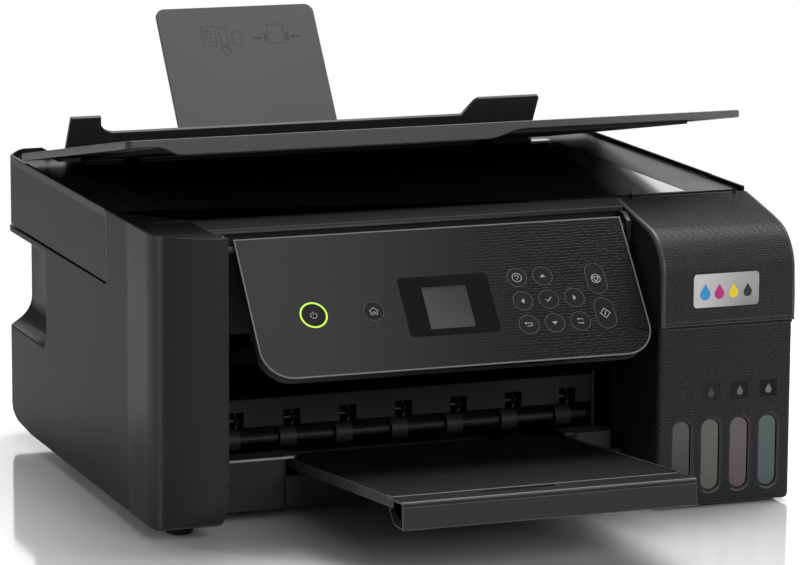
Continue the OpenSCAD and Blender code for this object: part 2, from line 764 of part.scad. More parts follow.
module main_board() {
  z = 29.6;
  color("#2f5d3a") placed() {
    span(board_x, board_y, [z, z + 1.6]);
    for (x = [board_x[0] + 4, board_x[1] - 4], y = [board_y[0] + 6, board_y[1] - 6]) translate([x, y, floor_z]) cylinder(h = z - floor_z, r = 3, $fn = 24);
    // controller chip, capacitors and the data port
    span([port_x - 14, port_x + 2], [board_y[0] + 23, board_y[0] + 39], [z + 1.6, z + 3]);
    for (i = [0:2]) translate([port_x + 14, board_y[0] + 20 + 12 * i, z + 1.6]) cylinder(h = 10, r = 4, $fn = 24);
    difference() {
      span([port_x - 7, port_x + 7], [case_d - 23, case_d - 0.5], [z + 1.6, z + 14]);
      span([port_x - 5, port_x + 5], [case_d - 9, case_d], [z + 4, z + 12]);
    }
  }
}

// ---------------------------------------------------------------- rear paper feed

// frame on the sloping feed plane: x across, y out of the plane to the back, z up the slope
module on_feed() {
  translate([feed_x, feed_y, feed_z]) rotate([-feed_lean, 0, 0]) children();
}

plate_top = -5;     // top edge of the paper plate along the slope
plate_low = -116;   // bottom edge
plate_back = -slack - support_t / 2;

module rear_feed_housing() {
  foot_z = back_z + slack;
  d = guard_y + 1;
  foot_y = case_d + 3;
  end_profile = [[d - 19.5, foot_z], [d - 19.5, lift_axis[1] + 2], [d - 10, rim_z - 1.5], [d - 5, rim_z + 0.4],
    [d + 3, rim_z + 0.4], [d + 7, rim_z - 5], [d + 27, rim_z - 5], [d + 32, rim_z - 10], [d + 32, 138], [foot_y, foot_z]];
  color(charcoal) placed() {
    difference() {
      union() {
        for (s = [-1, 1]) scale_x(s) along_x(lug_x) polygon(end_profile);
        // back wall that closes the feed behind the sliding support
        along_x([-lug_x[0], lug_x[0]])
          polygon([[d + 27, rim_z - 5], [d + 32, rim_z - 10], [d + 32, 138], [foot_y, foot_z], [case_d - wall, foot_z],
            [case_d - wall, foot_z + 3], [d + 29.5, 140], [d + 29.5, rim_z - 11], [d + 26, rim_z - 7.5]]);
        // bar in front of the paper, under the guard
        along_x([-lug_x[0], lug_x[0]])
          polygon([[d - 10, 160], [d - 7, 160], [d - 5.4, rim_z - 6.6], [d - 7.6, rim_z - 5.6]]);
        on_feed() {
          // paper plate with a turned-out bottom edge
          span([-plate_w / 2, plate_w / 2], [plate_back - plate_t, plate_back], [plate_low, plate_top]);
          span([-plate_w / 2, plate_w / 2], [plate_back - 14, plate_back], [plate_low - 2, plate_low]);
          // webs that tie the plate to the end walls
          for (x = [-lug_x[0] - feed_x, plate_w / 2 - 2, -plate_w / 2, lug_x[0] - feed_x - 2])
            span([x, x + 2], [plate_back - plate_t, plate_back + 8], [-60, -20]);
          for (s = [-1, 1]) span(s < 0 ? [-lug_x[0] - feed_x, -plate_w / 2 + 1]
            : [plate_w / 2 - 1, lug_x[0] - feed_x], [plate_back - plate_t, plate_back], [-60, -20]);
          // runners that carry the sliding support
          for (s = [-1, 1]) scale_x(s) {
            span([support_w / 2 + slack, support_w / 2 + 3], [plate_back, support_t / 2 + slack + 2], [plate_low, plate_top]);
            span([support_w / 2 - 4, support_w / 2 + 3], [support_t / 2 + slack, support_t / 2 + slack + 2],
              [plate_low, plate_top]);
          }
        }
      }
      for (s = [-1, 1]) scale_x(s) {
        rod([lug_x[0] - 1, lug_x[1] + 1], lift_axis, pin_r + run_fit);
        rod([lug_x[0] - 1, lug_x[1] - 1.5], guard_axis, 1.8 + run_fit);
      }
      // slots that the edge guides slide in
      on_feed() span([-plate_w / 2 + 2.5, plate_w / 2 - 2.5], [plate_back - plate_t - 1, plate_back + 1], [-52, -48]);
    }
  }
}

module scale_x(s) {
  if (s > 0) children();
  else mirror([1, 0, 0]) children();
}

module paper_support() {
  length = support_out + 62;
  color("#5a5c60") placed() on_feed()
    translate([0, -support_t / 2, 0]) rotate([-90, 0, 0]) linear_extrude(support_t)
      translate([0, -support_out + length / 2]) rounded(support_w, length, 6);
}

module feeder_guard() {
  h = guard_w / 2;
  t = 2.4;
  color(charcoal) placed() translate([0, guard_axis[0], guard_axis[1]]) rotate([guard_lean, 0, 0]) {
    difference() {
      along_y([-t / 2, t / 2]) polygon(concat(
        [[-h, -1.2], [-h, guard_ear - 0.5], [-h + 0.5, guard_ear], [-h + 19, guard_ear]],
        arc([-h + 29, guard_mid + 9.5], 9.5, 180, 270, 6),
        [[h - 50, guard_mid], [h - 43.5, guard_ear - 2], [h - 41, guard_ear], [h - 1, guard_ear],
          [h, guard_ear - 1], [h, -1.2]]));
    }
    for (s = [-1, 1]) scale_x(s) rod([h - 12, lug_x[1] - 2], [0, 0], 1.8);
  }
}

// an edge guide: a wall across the feed plane on a foot that runs in the plate's slot
module edge_guide(s) {
  x = s * (paper_w / 2 + 1);
  front = plate_back - plate_t - slack;
  color(graphite) placed() on_feed() translate([x, 0, 0]) scale_x(s) {
    span([0, 2], [front - 4.4, front], [-60, -22]);
    span([0, 14], [front - 1.6, front], [-60, -40]);
    span([2, 10], [front - 1, plate_back - slack], [-51.6, -48.4]);
  }
}
module edge_guide_left() { edge_guide(-1); }
module edge_guide_right() { edge_guide(1); }

// centre of the pickup roller, just in front of the paper plate
pick_v = -100;
pick_n = plate_back - plate_t - slack - pickup_r;

module pickup_roller() {
  color("#3b3b3c") placed() on_feed() translate([0, pick_n, pick_v]) {
    rod([-feed_x - plate_w / 2 - 4, 40], [0, 0], 3);
    rod([-18, 18], [0, 0], pickup_r);
  }
}

// ---------------------------------------------------------------- scanner

side_in = lug_x[1] + 1.2; // inner face of the scanner's side blocks

module scan_plan(t) {
  polygon(concat(
    [[x_l + wall + 0.8 + t, scan_y + t], [x_l + wall + 0.8 + t, seam_y + seam_gap + t],
      [x_l + t, seam_y + seam_gap + t]],
    arc([x_l + 14, scan_end - 14], 14 - t, 180, 90, 6),
    [[-side_in - t, scan_end - t], [-side_in - t, scan_back - t], [side_in + t, scan_back - t],
      [side_in + t, scan_end - t]],
    arc([x_r - 14, scan_end - 14], 14 - t, 90, 0, 6),
    [[x_r - t, seam_y + seam_gap + t], [x_r - wall - 0.8 - t, seam_y + seam_gap + t],
      [x_r - wall - 0.8 - t, scan_y + t]]));
}

module scanner_tray() {
  rod_y = scan_y + glass_d / 2 + 4;
  color(charcoal) placed() {
    difference() {
      translate([0, 0, scan_z]) linear_extrude(deck_z - wall - scan_z) scan_plan(0);
      translate([0, 0, scan_z + wall]) linear_extrude(deck_z) intersection() {
        scan_plan(wall);
        translate([x_l, scan_y]) square([body_w, scan_back - scan_y - wall]);
      }
    }
    for (s = [-1, 1]) scale_x(s) rod([lug_x[0] + 0.5, side_in + 6], lift_axis, pin_r);
    // rod that the contact image sensor runs along
    rod([x_l + wall - 0.5, x_r - wall + 0.5], [rod_y, cis_rod_z], 3);
  }
}

cis_rod_z = deck_z - 17;
glass_x = [x_l + 37.5, x_l + 37.5 + glass_w];

module scanner_deck() {
  color(graphite) placed() {
    difference() {
      union() {
        translate([0, 0, deck_z - wall]) linear_extrude(wall) scan_plan(0);
        // rim along the outer edges
        translate([0, 0, deck_z]) linear_extrude(rim_t) difference() {
          intersection() {
            scan_plan(0);
            translate([x_l - 1, seam_y]) square([body_w + 2, scan_end]);
          }
          translate([x_l + rim_t, 0]) square([body_w - 2 * rim_t, scan_end - rim_t]);
          translate([-side_in, 0]) square([2 * side_in, scan_end + 1]);
        }
        // taller lip round the back corners
        for (s = [-1, 1]) scale_x(s) intersection() {
          translate([0, 0, deck_z]) linear_extrude(rim_t + corner_lip) difference() {
            scan_plan(0);
            scan_plan(rim_t);
          }
          along_y([scan_end - 15, scan_end + 1]) polygon(concat(
            [[x_r + 1, deck_z], [x_r + 1, rim_z]],
            [for (i = [0:6]) [x_r - 2 * i, rim_z + corner_lip * (1 - cos(30 * i)) / 2]],
            [[side_in + 1.5, rim_z + corner_lip], [side_in, rim_z + 0.5], [side_in, deck_z]]));
        }
        for (x = hinge_x) translate([x - 5, 0, 0]) along_x([0, 10])
          polygon(concat([[lid_axis[0] + 2.5, deck_z - 0.5], [lid_axis[0] + 2.5, lid_axis[1]]],
            arc(lid_axis, 2.5, 0, 180, 8), [[lid_axis[0] - 2.5, deck_z - 0.5]]));
      }
      span([glass_x[0] - slack, glass_x[1] + slack], [glass_y - slack, glass_y + glass_d + slack],
        [deck_z - wall - 1, deck_z + 1]);
      rod([hinge_x[0] - 6, hinge_x[1] + 6], lid_axis, 1.5 + run_fit);
      span([lip_x[0] - 2, lip_x[1] + 2], [scan_y - 1, lid_axis[0] - lid_d + 4.4], [deck_z - wall - 1, rim_z + 1]);
    }
    // ledge under the glass, hung from the plate by a rib all round
    ledge_z = deck_z - glass_t - 1.6;
    difference() {
      span([glass_x[0] - 5, glass_x[1] + 5], [glass_y - 0.7, glass_y + glass_d + 5], [ledge_z, deck_z - wall + 0.1]);
      span([glass_x[0] + 4, glass_x[1] - 4], [glass_y + 4, glass_y + glass_d - 4], [ledge_z - 1, deck_z]);
      span([glass_x[0] - slack, glass_x[1] + slack], [glass_y - slack, glass_y + glass_d + slack],
        [deck_z - glass_t, deck_z]);
    }
  }
}

hinge_x = [x_l + 69.5, x_r - 75.5];

module scanner_glass() {
  color([0.06, 0.07, 0.08]) placed() span(glass_x, [glass_y, glass_y + glass_d], [deck_z - glass_t, deck_z]);
}

module cis_bar() {
  x = glass_x[0] + 8;
  rod_y = scan_y + glass_d / 2 + 4;
  color("#1d1e20") placed() difference() {
    span([x, x + 22], [glass_y + 5, glass_y + glass_d - 5], [deck_z - 22, deck_z - glass_t - 2.6]);
    rod([x - 1, x + 23], [rod_y, cis_rod_z], 3 + run_fit);
    span([x + 7, x + 12], [glass_y + 8, glass_y + glass_d - 8], [deck_z - glass_t - 3.4, deck_z]);
  }
}

// ---------------------------------------------------------------- document cover

// frame of the cover, turned open about its hinge
module on_lid() {
  translate([0, lid_axis[0], lid_axis[1]]) rotate([-lid_open, 0, 0]) children();
}

lip_x = [x_l + 17.5, tank_x - 53];

module document_cover() {
  front = -lid_d;
  back = 2.4;
  color("#505254") placed() on_lid() difference() {
    union() {
      // flat plate with a chamfer at its front right corner
      linear_extrude(lid_t) polygon(concat(
        [[x_l, -1.5], [x_l + 3.5, -1.5], [x_l + 3.5, back], [x_r - 3.5, back], [x_r - 3.5, -1.5], [x_r, -1.5],
          [x_r, front + 6], [x_r - 6, front]],
        arc([x_l + 5, front + 5], 5, 270, 180, 4)));
      // deep lip with sweeping ends
      along_y([front, front + 3.2]) polygon(concat(
        [[lip_x[0], 0.5]],
        [for (i = [0:8]) [lip_x[0] + 2 * i, -lip_drop * (1 - cos(22.5 * i)) / 2]],
        [for (i = [0:8]) [lip_x[1] - 24 + 3 * i, -lip_drop * (1 + cos(22.5 * i)) / 2]],
        [[lip_x[1], 0.5]]));
    }
    // pockets for the hinge lugs
    for (x = hinge_x) span([x - 6, x + 6], [-5, 4], [-1, lid_t - 1.1]);
    // sunk underside
    translate([0, 0, -1]) linear_extrude(2.4) difference() {
      translate([x_l + 9, front + 8]) square([body_w - 18, lid_d - 18]);
      translate([glass_x[0] - 4, front + 4]) square([glass_w + 8, lid_d - 8]);
    }
  }
  // hinge pins
  color("#505254") placed() on_lid()
    for (x = hinge_x) rod([x - 6.5, x + 6.5], [0, 0], 1.5);
}

module document_mat() {
  color("#c9cbcc") placed() on_lid()
    span([glass_x[0] - 2, glass_x[1] + 2], [6 - lid_d, -6],
      [-2.1, 0]);
}

// ---------------------------------------------------------------- control panel

panel_hinge = [panel_y - panel_axis_in * sin(panel_tilt) + panel_axis_in * cos(panel_tilt),
  panel_z - panel_axis_in * cos(panel_tilt) - panel_axis_in * sin(panel_tilt)];

// frame of the panel: x across, y into the panel, z up the face from its top edge
module on_panel() {
  translate([panel_x, panel_y, panel_z]) rotate([-panel_tilt, 0, 0]) children();
}

// outline of the panel, drawn in by t
module panel_outline(t) {
  h = panel_w / 2;
  polygon(concat(
    arc([h - panel_r, -panel_l + panel_r], panel_r - t, 0, -90, 8),
    arc([-h + panel_r, -panel_l + panel_r], panel_r - t, 270, 180, 8),
    [[-h + t, -t - 1], [-h + t + 1, -t], [h - t - 1, -t], [h - t, -t - 1]]));
}

row = [-50 + row_pitch, -50, -50 - row_pitch];
lcd_x = 115.3 - 116;
lcd_z = -50.3;
col = 43.8;
button_at = [
  [-80.2, row[1], power_r], [-45.1, row[1], button_r],
  [col, row[0], button_r], [col + button_pitch, row[0], button_r],
  [col, row[1], button_r], [col + button_pitch, row[1], button_r], [col + 2 * button_pitch, row[1], button_r],
  [col, row[2], button_r], [col + button_pitch, row[2], button_r], [col + 2 * button_pitch, row[2], button_r]];
long_x = col + 3 * button_pitch + 0.4;
long_at = [[long_x, -38.9], [long_x, -61.1]];
flange = 0.8;      // rim behind the front plate that keeps a button in
pocket_gap = 0.2;  // play of that rim in its pocket
pocket_t = fascia_t + slack + 1 + 1 + button_travel + slack;

module panel_fascia() {
  color(graphite) placed() on_panel() difference() {
    along_y([0, fascia_t]) panel_outline(0);
    for (b = button_at) translate([b[0], -1, b[1]]) rotate([-90, 0, 0]) cylinder(h = fascia_t + 2, r = b[2] + 0.25);
    along_y([-1, fascia_t + 1]) {
      for (b = long_at) translate(b) slot(2 * button_r + 0.5, long_h + 0.5);
      translate([lcd_x, lcd_z]) rounded(lcd_w + 0.4, lcd_w + 0.4, 0.6);
    }
  }
}

module panel_shell() {
  color(charcoal) placed() on_panel() {
    difference() {
      along_y([fascia_t, fascia_t + shell_t]) panel_outline(0.8);
      for (b = button_at) translate([b[0], fascia_t - 1, b[1]]) rotate([-90, 0, 0])
        cylinder(h = pocket_t - fascia_t + 1, r = b[2] + flange + pocket_gap);
      along_y([fascia_t - 1, pocket_t]) for (b = long_at) translate(b)
        slot(2 * (button_r + flange + pocket_gap), long_h + 2 * (flange + pocket_gap));
      along_y([fascia_t - 1, fascia_t + 3.4]) translate([lcd_x, lcd_z]) rounded(lcd_w + 8.4, lcd_w + 8.4, 0.6);
    }
    // hinge pins at the top corners
    translate([0, panel_axis_in, -panel_axis_in]) {
      rod([-panel_w / 2 - 9, -panel_w / 2 + 6], [0, 0], panel_pin_r);
      rod([panel_w / 2 - 6, panel_w / 2 + 5.6], [0, 0], panel_pin_r);
    }
  }
}

module display() {
  color([0.35, 0.36, 0.38]) placed() on_panel() {
    along_y([0.5, fascia_t]) translate([lcd_x, lcd_z]) square(lcd_w, center = true);
    along_y([fascia_t, fascia_t + 3.2]) translate([lcd_x, lcd_z]) square(lcd_w + 8, center = true);
  }
}

// a round button with its flange and stem
module round_button(i) {
  b = button_at[i];
  color(graphite) placed() on_panel() translate([b[0], 0, b[1]]) rotate([-90, 0, 0]) {
    cylinder(h = fascia_t + slack + 0.5, r = b[2]);
    translate([0, 0, fascia_t + slack]) cylinder(h = 1, r = b[2] + flange);
    translate([0, 0, fascia_t + slack + 1]) cylinder(h = 1, r = 2);
  }
}

module long_button(i) {
  color(graphite) placed() on_panel() translate([long_at[i][0], 0, long_at[i][1]]) {
    along_y([0, fascia_t + slack + 0.5]) slot(2 * button_r, long_h);
    along_y([fascia_t + slack, fascia_t + slack + 1]) slot(2 * (button_r + flange), long_h + 2 * flange);
    along_y([fascia_t + slack + 1, fascia_t + slack + 2]) slot(4, 10);
  }
}

module button_power() { round_button(0); }
module button_home() { round_button(1); }
module button_help() { round_button(2); }
module button_up() { round_button(3); }
module button_left() { round_button(4); }
module button_ok() { round_button(5); }
module button_right() { round_button(6); }
module button_back() { round_button(7); }
module button_down() { round_button(8); }
module button_swap() { round_button(9); }
module button_stop() { long_button(0); }
module button_start() { long_button(1); }

// ---------------------------------------------------------------- output tray

// frame of the tray: origin at the middle of its top front edge, y back along the slope
module on_tray() {
  translate([tray_x, -tray_out, tray_z]) rotate([-tray_rise, 0, 0]) children();
}

lip_d = 22;         // depth of the lip's flat top
roll_d = 15;        // depth of the roll under it
ext_w = 150;        // width of the extension plate inside the tray
ext_l = 96;
ext_t = 1.8;
pocket_z = -1.4;    // roof of the extension's pocket

module output_tray() {
  h = tray_w / 2;
  color(graphite) placed() on_tray() difference() {
    union() {
      span([-h, h], [lip_d + slack, tray_l], [-tray_t, 0]);
      // guide rails along both sides
      for (s = [-1, 1]) scale_x(s) span([h - 1.6, h], [lip_d + slack, tray_l - 4], [-tray_t, rail_h]);
    }
    span([-ext_w / 2 - slack, ext_w / 2 + slack], [0, lip_d + ext_l + 2], [pocket_z - ext_t - 2 * slack, pocket_z]);
  }
}

module tray_extension() {
  h = tray_w / 2;
  color(graphite) placed() on_tray() {
    // rolled front lip: flat face, curved back, open ends
    difference() {
      along_x([-h, h]) polygon(concat(
        // shadow groove under the front edge
        [[0, -lip_h], [0, -2.7], [0.9, -2.7], [0.9, -1.2], [0, -1.2], [0, -0.6], [0.6, 0]],
        [[lip_d - 0.8, 0], [lip_d, -0.8], [lip_d, -tray_t]],
        [for (i = [0:7]) [roll_d - roll_d * sin(12.857 * i) * 0.93,
          -tray_t - (lip_h - tray_t) * (1 - cos(12.857 * i))]]));
      for (s = [-1, 1]) scale_x(s) along_x([h - 4, h + 1]) polygon(concat(
        [[1.8, -lip_h + 4], [1.8, -1.8], [roll_d - 2.4, -1.8], [roll_d - 2, -tray_t]],
        [for (i = [1:4]) [roll_d - 2 - (roll_d - 4) * sin(18 * i) * 0.9,
          -tray_t - (lip_h - tray_t - 4) * (1 - cos(18 * i))]]));
      // finger notch at the back of the lip
      along_x([-32, 10]) polygon([[lip_d - 8, 0.1], [lip_d - 6, -2], [lip_d + 1, -2], [lip_d + 1, 0.1]]);
    }
    span([-ext_w / 2, ext_w / 2], [lip_d - 2, lip_d + ext_l], [pocket_z - slack - ext_t, pocket_z - slack]);
  }
}

base_pan();
rubber_feet();
left_cover();
right_cover();
rear_cover();
front_band();
tank_housing();
ink_tanks();
tank_cover();
cap_black();
cap_yellow();
cap_magenta();
cap_cyan();
chassis();
platen();
feed_roller();
exit_roller();
star_wheel_bar();
star_wheels();
carriage();
print_head();
drive_belt();
motor_pulley();
idler_pulley();
carriage_motor();
capping_station();
waste_ink_pad();
power_supply();
main_board();
rear_feed_housing();
pickup_roller();
paper_support();
feeder_guard();
edge_guide_left();
edge_guide_right();
scanner_tray();
scanner_deck();
scanner_glass();
cis_bar();
document_cover();
document_mat();
panel_shell();
panel_fascia();
display();
button_power();
button_home();
button_help();
button_up();
button_stop();
button_left();
button_ok();
button_right();
button_start();
button_back();
button_down();
button_swap();
output_tray();
tray_extension();
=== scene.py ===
import json
import math

import bmesh
import bpy
from mathutils import Matrix, Vector


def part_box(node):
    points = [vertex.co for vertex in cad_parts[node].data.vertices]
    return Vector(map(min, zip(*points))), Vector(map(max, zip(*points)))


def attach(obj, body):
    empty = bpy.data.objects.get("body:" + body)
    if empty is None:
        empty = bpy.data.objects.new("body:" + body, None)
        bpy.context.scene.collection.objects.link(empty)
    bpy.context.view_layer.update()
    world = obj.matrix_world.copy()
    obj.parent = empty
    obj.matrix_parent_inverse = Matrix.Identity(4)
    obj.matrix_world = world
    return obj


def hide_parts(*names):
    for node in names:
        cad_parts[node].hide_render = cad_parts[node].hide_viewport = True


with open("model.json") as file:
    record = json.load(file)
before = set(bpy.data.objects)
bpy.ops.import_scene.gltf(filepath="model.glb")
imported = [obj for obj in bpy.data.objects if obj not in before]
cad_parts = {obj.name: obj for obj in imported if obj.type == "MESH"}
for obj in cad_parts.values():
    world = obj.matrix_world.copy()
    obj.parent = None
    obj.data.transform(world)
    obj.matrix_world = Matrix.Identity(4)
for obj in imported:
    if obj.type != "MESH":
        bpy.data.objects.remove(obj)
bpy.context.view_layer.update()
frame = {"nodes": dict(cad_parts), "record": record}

# Camera. It stands low at the left in front of the printer with a long lens, so the upright edges
# stay upright. Lengths are millimetres; Y is counted from the front plane of the case.
lens_mm = 185.2
camera_place = (-835.38, -2076.17, 566.09)
turn, dip, tilt = 0.36067, 0.18858, 0.005114
MM = 0.001
case_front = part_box("left_cover")[0].y


def at(x, y, z):
    return Vector((x * MM, case_front + y * MM, z * MM))


ahead = Vector((math.sin(turn) * math.cos(dip), math.cos(turn) * math.cos(dip), -math.sin(dip)))
side = Vector((math.cos(turn), -math.sin(turn), 0))
over = side.cross(ahead)
side, over = (side * math.cos(tilt) + over * math.sin(tilt),
              over * math.cos(tilt) - side * math.sin(tilt))
camera = bpy.data.objects.new("camera", bpy.data.cameras.new("camera"))
camera.data.lens = lens_mm
camera.data.sensor_width = 36
camera.data.clip_end = 50
view_axes = Matrix((side, over, -ahead)).transposed().to_4x4()
camera.matrix_world = Matrix.Translation(at(*camera_place)) @ view_axes
bpy.context.scene.collection.objects.link(camera)
bpy.context.scene.camera = camera
bpy.context.scene.view_settings.view_transform = "Standard"


# Studio. A pale glossy board under a wide overhead lamp. A tall lamp at the left draws the bright
# line down the rounded column, a broad one stands in front, and a low card of light behind is
# mirrored in the board and in the scanner's glass.
class Value:
    """An output of a finish. Arithmetic on it adds Math nodes."""

    def __init__(self, finish, socket):
        self.finish, self.socket = finish, socket

    def math(self, operation, *others):
        return self.finish.node("ShaderNodeMath", {"operation": operation}, self, *others)

    def __add__(self, other):
        return self.math("ADD", other)

    def __sub__(self, other):
        return self.math("SUBTRACT", other)

    def __rsub__(self, other):
        return self.finish.node("ShaderNodeMath", {"operation": "SUBTRACT"}, other, self)

    def __mul__(self, other):
        return self.math("MULTIPLY", other)

    def __truediv__(self, other):
        return self.math("DIVIDE", other)

    def __lt__(self, other):
        return self.math("LESS_THAN", other)

    def __gt__(self, other):
        return self.math("GREATER_THAN", other)

    __radd__, __rmul__ = __add__, __mul__

    def ramp(self, low, high, start=0.0, end=1.0):
        """Smooth step of this value from low to high, mapped to start..end."""
        return self.finish.node(
            "ShaderNodeMapRange", {"interpolation_type": "SMOOTHSTEP"}, self, low, high, start, end)


class Finish:
    """A material: node() adds any node, and set() feeds the shader's own sockets."""

    def __init__(self, name):
        self.material = bpy.data.materials.new(name)
        self.material.use_nodes = True
        self.tree = self.material.node_tree
        self.shader = self.tree.nodes["Principled BSDF"]
        self.place = self.node("ShaderNodeTexCoord", out="Object")

    def node(self, kind, settings=None, *values, out=0, **named):
        made = self.tree.nodes.new(kind)
        for key, setting in (settings or {}).items():
            setattr(made, key, setting)
        for index, value in enumerate(values):
            self.feed(made.inputs[index], value)
        for key, value in named.items():
            self.feed(made.inputs[key], value)
        return Value(self, made.outputs[out])

    def feed(self, socket, value):
        if isinstance(value, Value):
            self.tree.links.new(value.socket, socket)
        elif value is not None:
            socket.default_value = value

    def set(self, **sockets):
        """Feeds shader sockets; an underscore stands for a space in a socket's name."""
        for key, value in sockets.items():
            self.feed(self.shader.inputs[key.replace("_", " ")], value)
        return self

    def mix(self, factor, low, high):
        """A colour between two; the colour sockets of a Mix node are 6, 7 and output 2."""
        mixed = self.node("ShaderNodeMix", {"data_type": "RGBA"}, out=2)
        for index, value in zip((0, 6, 7), (factor, low, high)):
            self.feed(mixed.socket.node.inputs[index], value)
        return mixed

    def along(self, direction, origin=(0, 0, 0)):
        """Distance in millimetres from origin along a direction."""
        kind = "ShaderNodeVectorMath"
        moved = self.node(kind, {"operation": "SUBTRACT"}, self.place, tuple(origin))
        length = self.node(kind, {"operation": "DOT_PRODUCT"}, moved, tuple(direction), out="Value")
        return length * (1 / MM)

    def facing(self, axis):
        """How far the surface faces along an axis, from -1 to 1."""
        normal = self.node("ShaderNodeNewGeometry", out="Normal")
        return self.node("ShaderNodeSeparateXYZ", None, normal, out=axis)

    def noise(self, scale, detail=2.0, rough=0.5):
        return self.node("ShaderNodeTexNoise", None, Vector=self.place, Scale=scale, Detail=detail,
                         Roughness=rough)

    def cloud(self):
        """Faint patches some centimetres across."""
        return self.noise(14, 3)

    def grain(self):
        """The fine spark-eroded grain of a mould."""
        return self.noise(2600, 2, 0.6)

    def bump(self, height, depth_mm, under=None):
        return self.node("ShaderNodeBump", None, Height=height, Distance=depth_mm * MM,
                         Strength=1.0, Normal=under)


def grey(level, warm=0.0):
    return (level * (1 + warm), level, level * (1 - warm), 1)


floor_size, shadow_near, shadow_far = 40, 0.35, 0.9
board = Finish("studio_board")
board.set(Base_Color=board.mix(board.noise(3), grey(0.74), grey(0.78)), Roughness=0.08,
          Specular_IOR_Level=0.9)
backdrop = board.node("ShaderNodeEmission", None, (1, 1, 1, 1), 1.0)
away = board.node("ShaderNodeVectorMath", {"operation": "LENGTH"}, board.place, out="Value")
seen = board.node("ShaderNodeLightPath", out="Is Camera Ray")
blend = board.node("ShaderNodeMixShader", None, away.ramp(shadow_near, shadow_far) * seen,
                   Value(board, board.shader.outputs[0]), backdrop)
board.tree.links.new(blend.socket, board.tree.nodes["Material Output"].inputs["Surface"])
floor_mesh = bpy.data.meshes.new("studio_floor")
corners = ((-1, -1), (1, -1), (1, 1), (-1, 1))
floor_mesh.from_pydata(
    [(x * floor_size / 2, y * floor_size / 2, 0) for x, y in corners], [], [(0, 1, 2, 3)])
floor_mesh.materials.append(board.material)
floor = bpy.data.objects.new("studio_floor", floor_mesh)
bpy.context.scene.collection.objects.link(floor)

world = bpy.data.worlds.new("studio_room")
world.use_nodes = True
bpy.context.scene.world = world
nodes, links = world.node_tree.nodes, world.node_tree.links
room, backing = nodes["Background"], nodes.new("ShaderNodeBackground")
for light, strength in ((room, 0.2), (backing, 1.0)):
    light.inputs["Color"].default_value = (1, 1, 1, 1)
    light.inputs["Strength"].default_value = strength
choice, ray = nodes.new("ShaderNodeMixShader"), nodes.new("ShaderNodeLightPath")
sources = ray.outputs["Is Camera Ray"], room.outputs[0], backing.outputs[0]
for socket, source in zip(choice.inputs, sources):
    links.new(source, socket)
links.new(choice.outputs[0], nodes["World Output"].inputs[0])

# place, target, width and height in metres, and power in watts
for name, place, target, width, height, watts in (
        ("lamp_over", (0.5, 0.5, 1.9), (0, 0.05, 0), 1.7, 1.3, 58),
        ("lamp_left", (-1.72, 1.12, 0.45), (-0.15, 0, 0.1), 0.35, 1.3, 17),
        ("lamp_front", (0.3, -2.6, 1.2), (0, 0, 0.1), 1.8, 1.0, 34),
        ("lamp_card", (1.06, 2.81, 0.62), (0, 0, 0), 2.2, 0.7, 7)):
    data = bpy.data.lights.new(name, "AREA")
    data.shape = "RECTANGLE"
    data.size, data.size_y, data.energy = width, height, watts
    lamp = bpy.data.objects.new(name, data)
    lamp.location = place
    lamp.rotation_euler = (Vector(target) - Vector(place)).to_track_quat("-Z", "Y").to_euler()
    lamp.visible_camera = False
    bpy.context.scene.collection.objects.link(lamp)


# Lower case. Side covers, base pan, back cover and the band over the control panel are moulded in
# black polystyrene with a fine spark-eroded grain; every outer edge is broken.
def moulded(name, level, rough=0.42, grain=0.02, warm=0.0, shine=0.3, under=None):
    """Moulded plastic with a fine grain and a faint unevenness of tone and gloss. The grain is in
    millimetres; under makes a bump that the grain lies on."""
    made = Finish(name)
    cloud, fine = made.cloud(), made.grain()
    return made.set(
        Base_Color=made.mix(cloud, grey(level * 0.92, warm), grey(level * 1.08, warm)),
        Roughness=cloud * 0.08 + (rough - 0.07) + fine * 0.06,
        Normal=made.bump(fine, grain, under(made) if under else None), Specular_IOR_Level=shine)


def body_of(node):
    bodies = frame["record"]["behaviour"]["bodies"]
    return next(name for name, members in bodies.items() if node in members)


def slot_of(node):
    subparts = frame["record"]["subparts"]
    return next(part["material_slot"] for part in subparts if part["node"] == node)


def evaluated(mesh, name, kind, settings, inputs=()):
    """The mesh after one modifier, as a plain mesh of its own. Inputs are a node tree's sockets."""
    carrier = bpy.data.objects.new(name + "_work", mesh)
    bpy.context.scene.collection.objects.link(carrier)
    modifier = carrier.modifiers.new(kind, kind)
    for key, setting in settings.items():
        setattr(modifier, key, setting)
    for identifier, value in inputs:
        modifier[identifier] = value
    bpy.context.view_layer.update()
    graph = bpy.context.evaluated_depsgraph_get()
    result = bpy.data.meshes.new_from_object(carrier.evaluated_get(graph))
    bpy.data.objects.remove(carrier)
    result.name = name
    return result


def smoothed(mesh, name, angle=35):
    for polygon in mesh.polygons:
        polygon.use_smooth = True
    mesh.set_sharp_from_angle(angle=math.radians(angle))
    return evaluated(mesh, name, "WEIGHTED_NORMAL", {"keep_sharp": True})


def show(mesh, name, body, slot, finishes=(), replaced=()):
    """Puts a finished mesh on its body, standing for the CAD nodes in replaced."""
    for finish in finishes:
        mesh.materials.append(finish.material)
    piece = bpy.data.objects.new(name, mesh)
    bpy.context.scene.collection.objects.link(piece)
    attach(piece, body)
    if replaced:
        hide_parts(*replaced)
    return piece


def clearance(edge, width):
    """Share of the width that the faces beside an edge leave room for."""
    room_left, taken = width, 0.42
    for corner in edge.verts:
        for other in corner.link_edges:
            if other is edge or not set(other.link_faces) & set(edge.link_faces):
                continue
            line = edge.other_vert(corner).co - corner.co
            turned = line.angle(other.other_vert(corner).co - corner.co, 0)
            if math.radians(35) < turned < math.radians(145):
                room_left = min(room_left, other.calc_length() * taken)
    return room_left / width


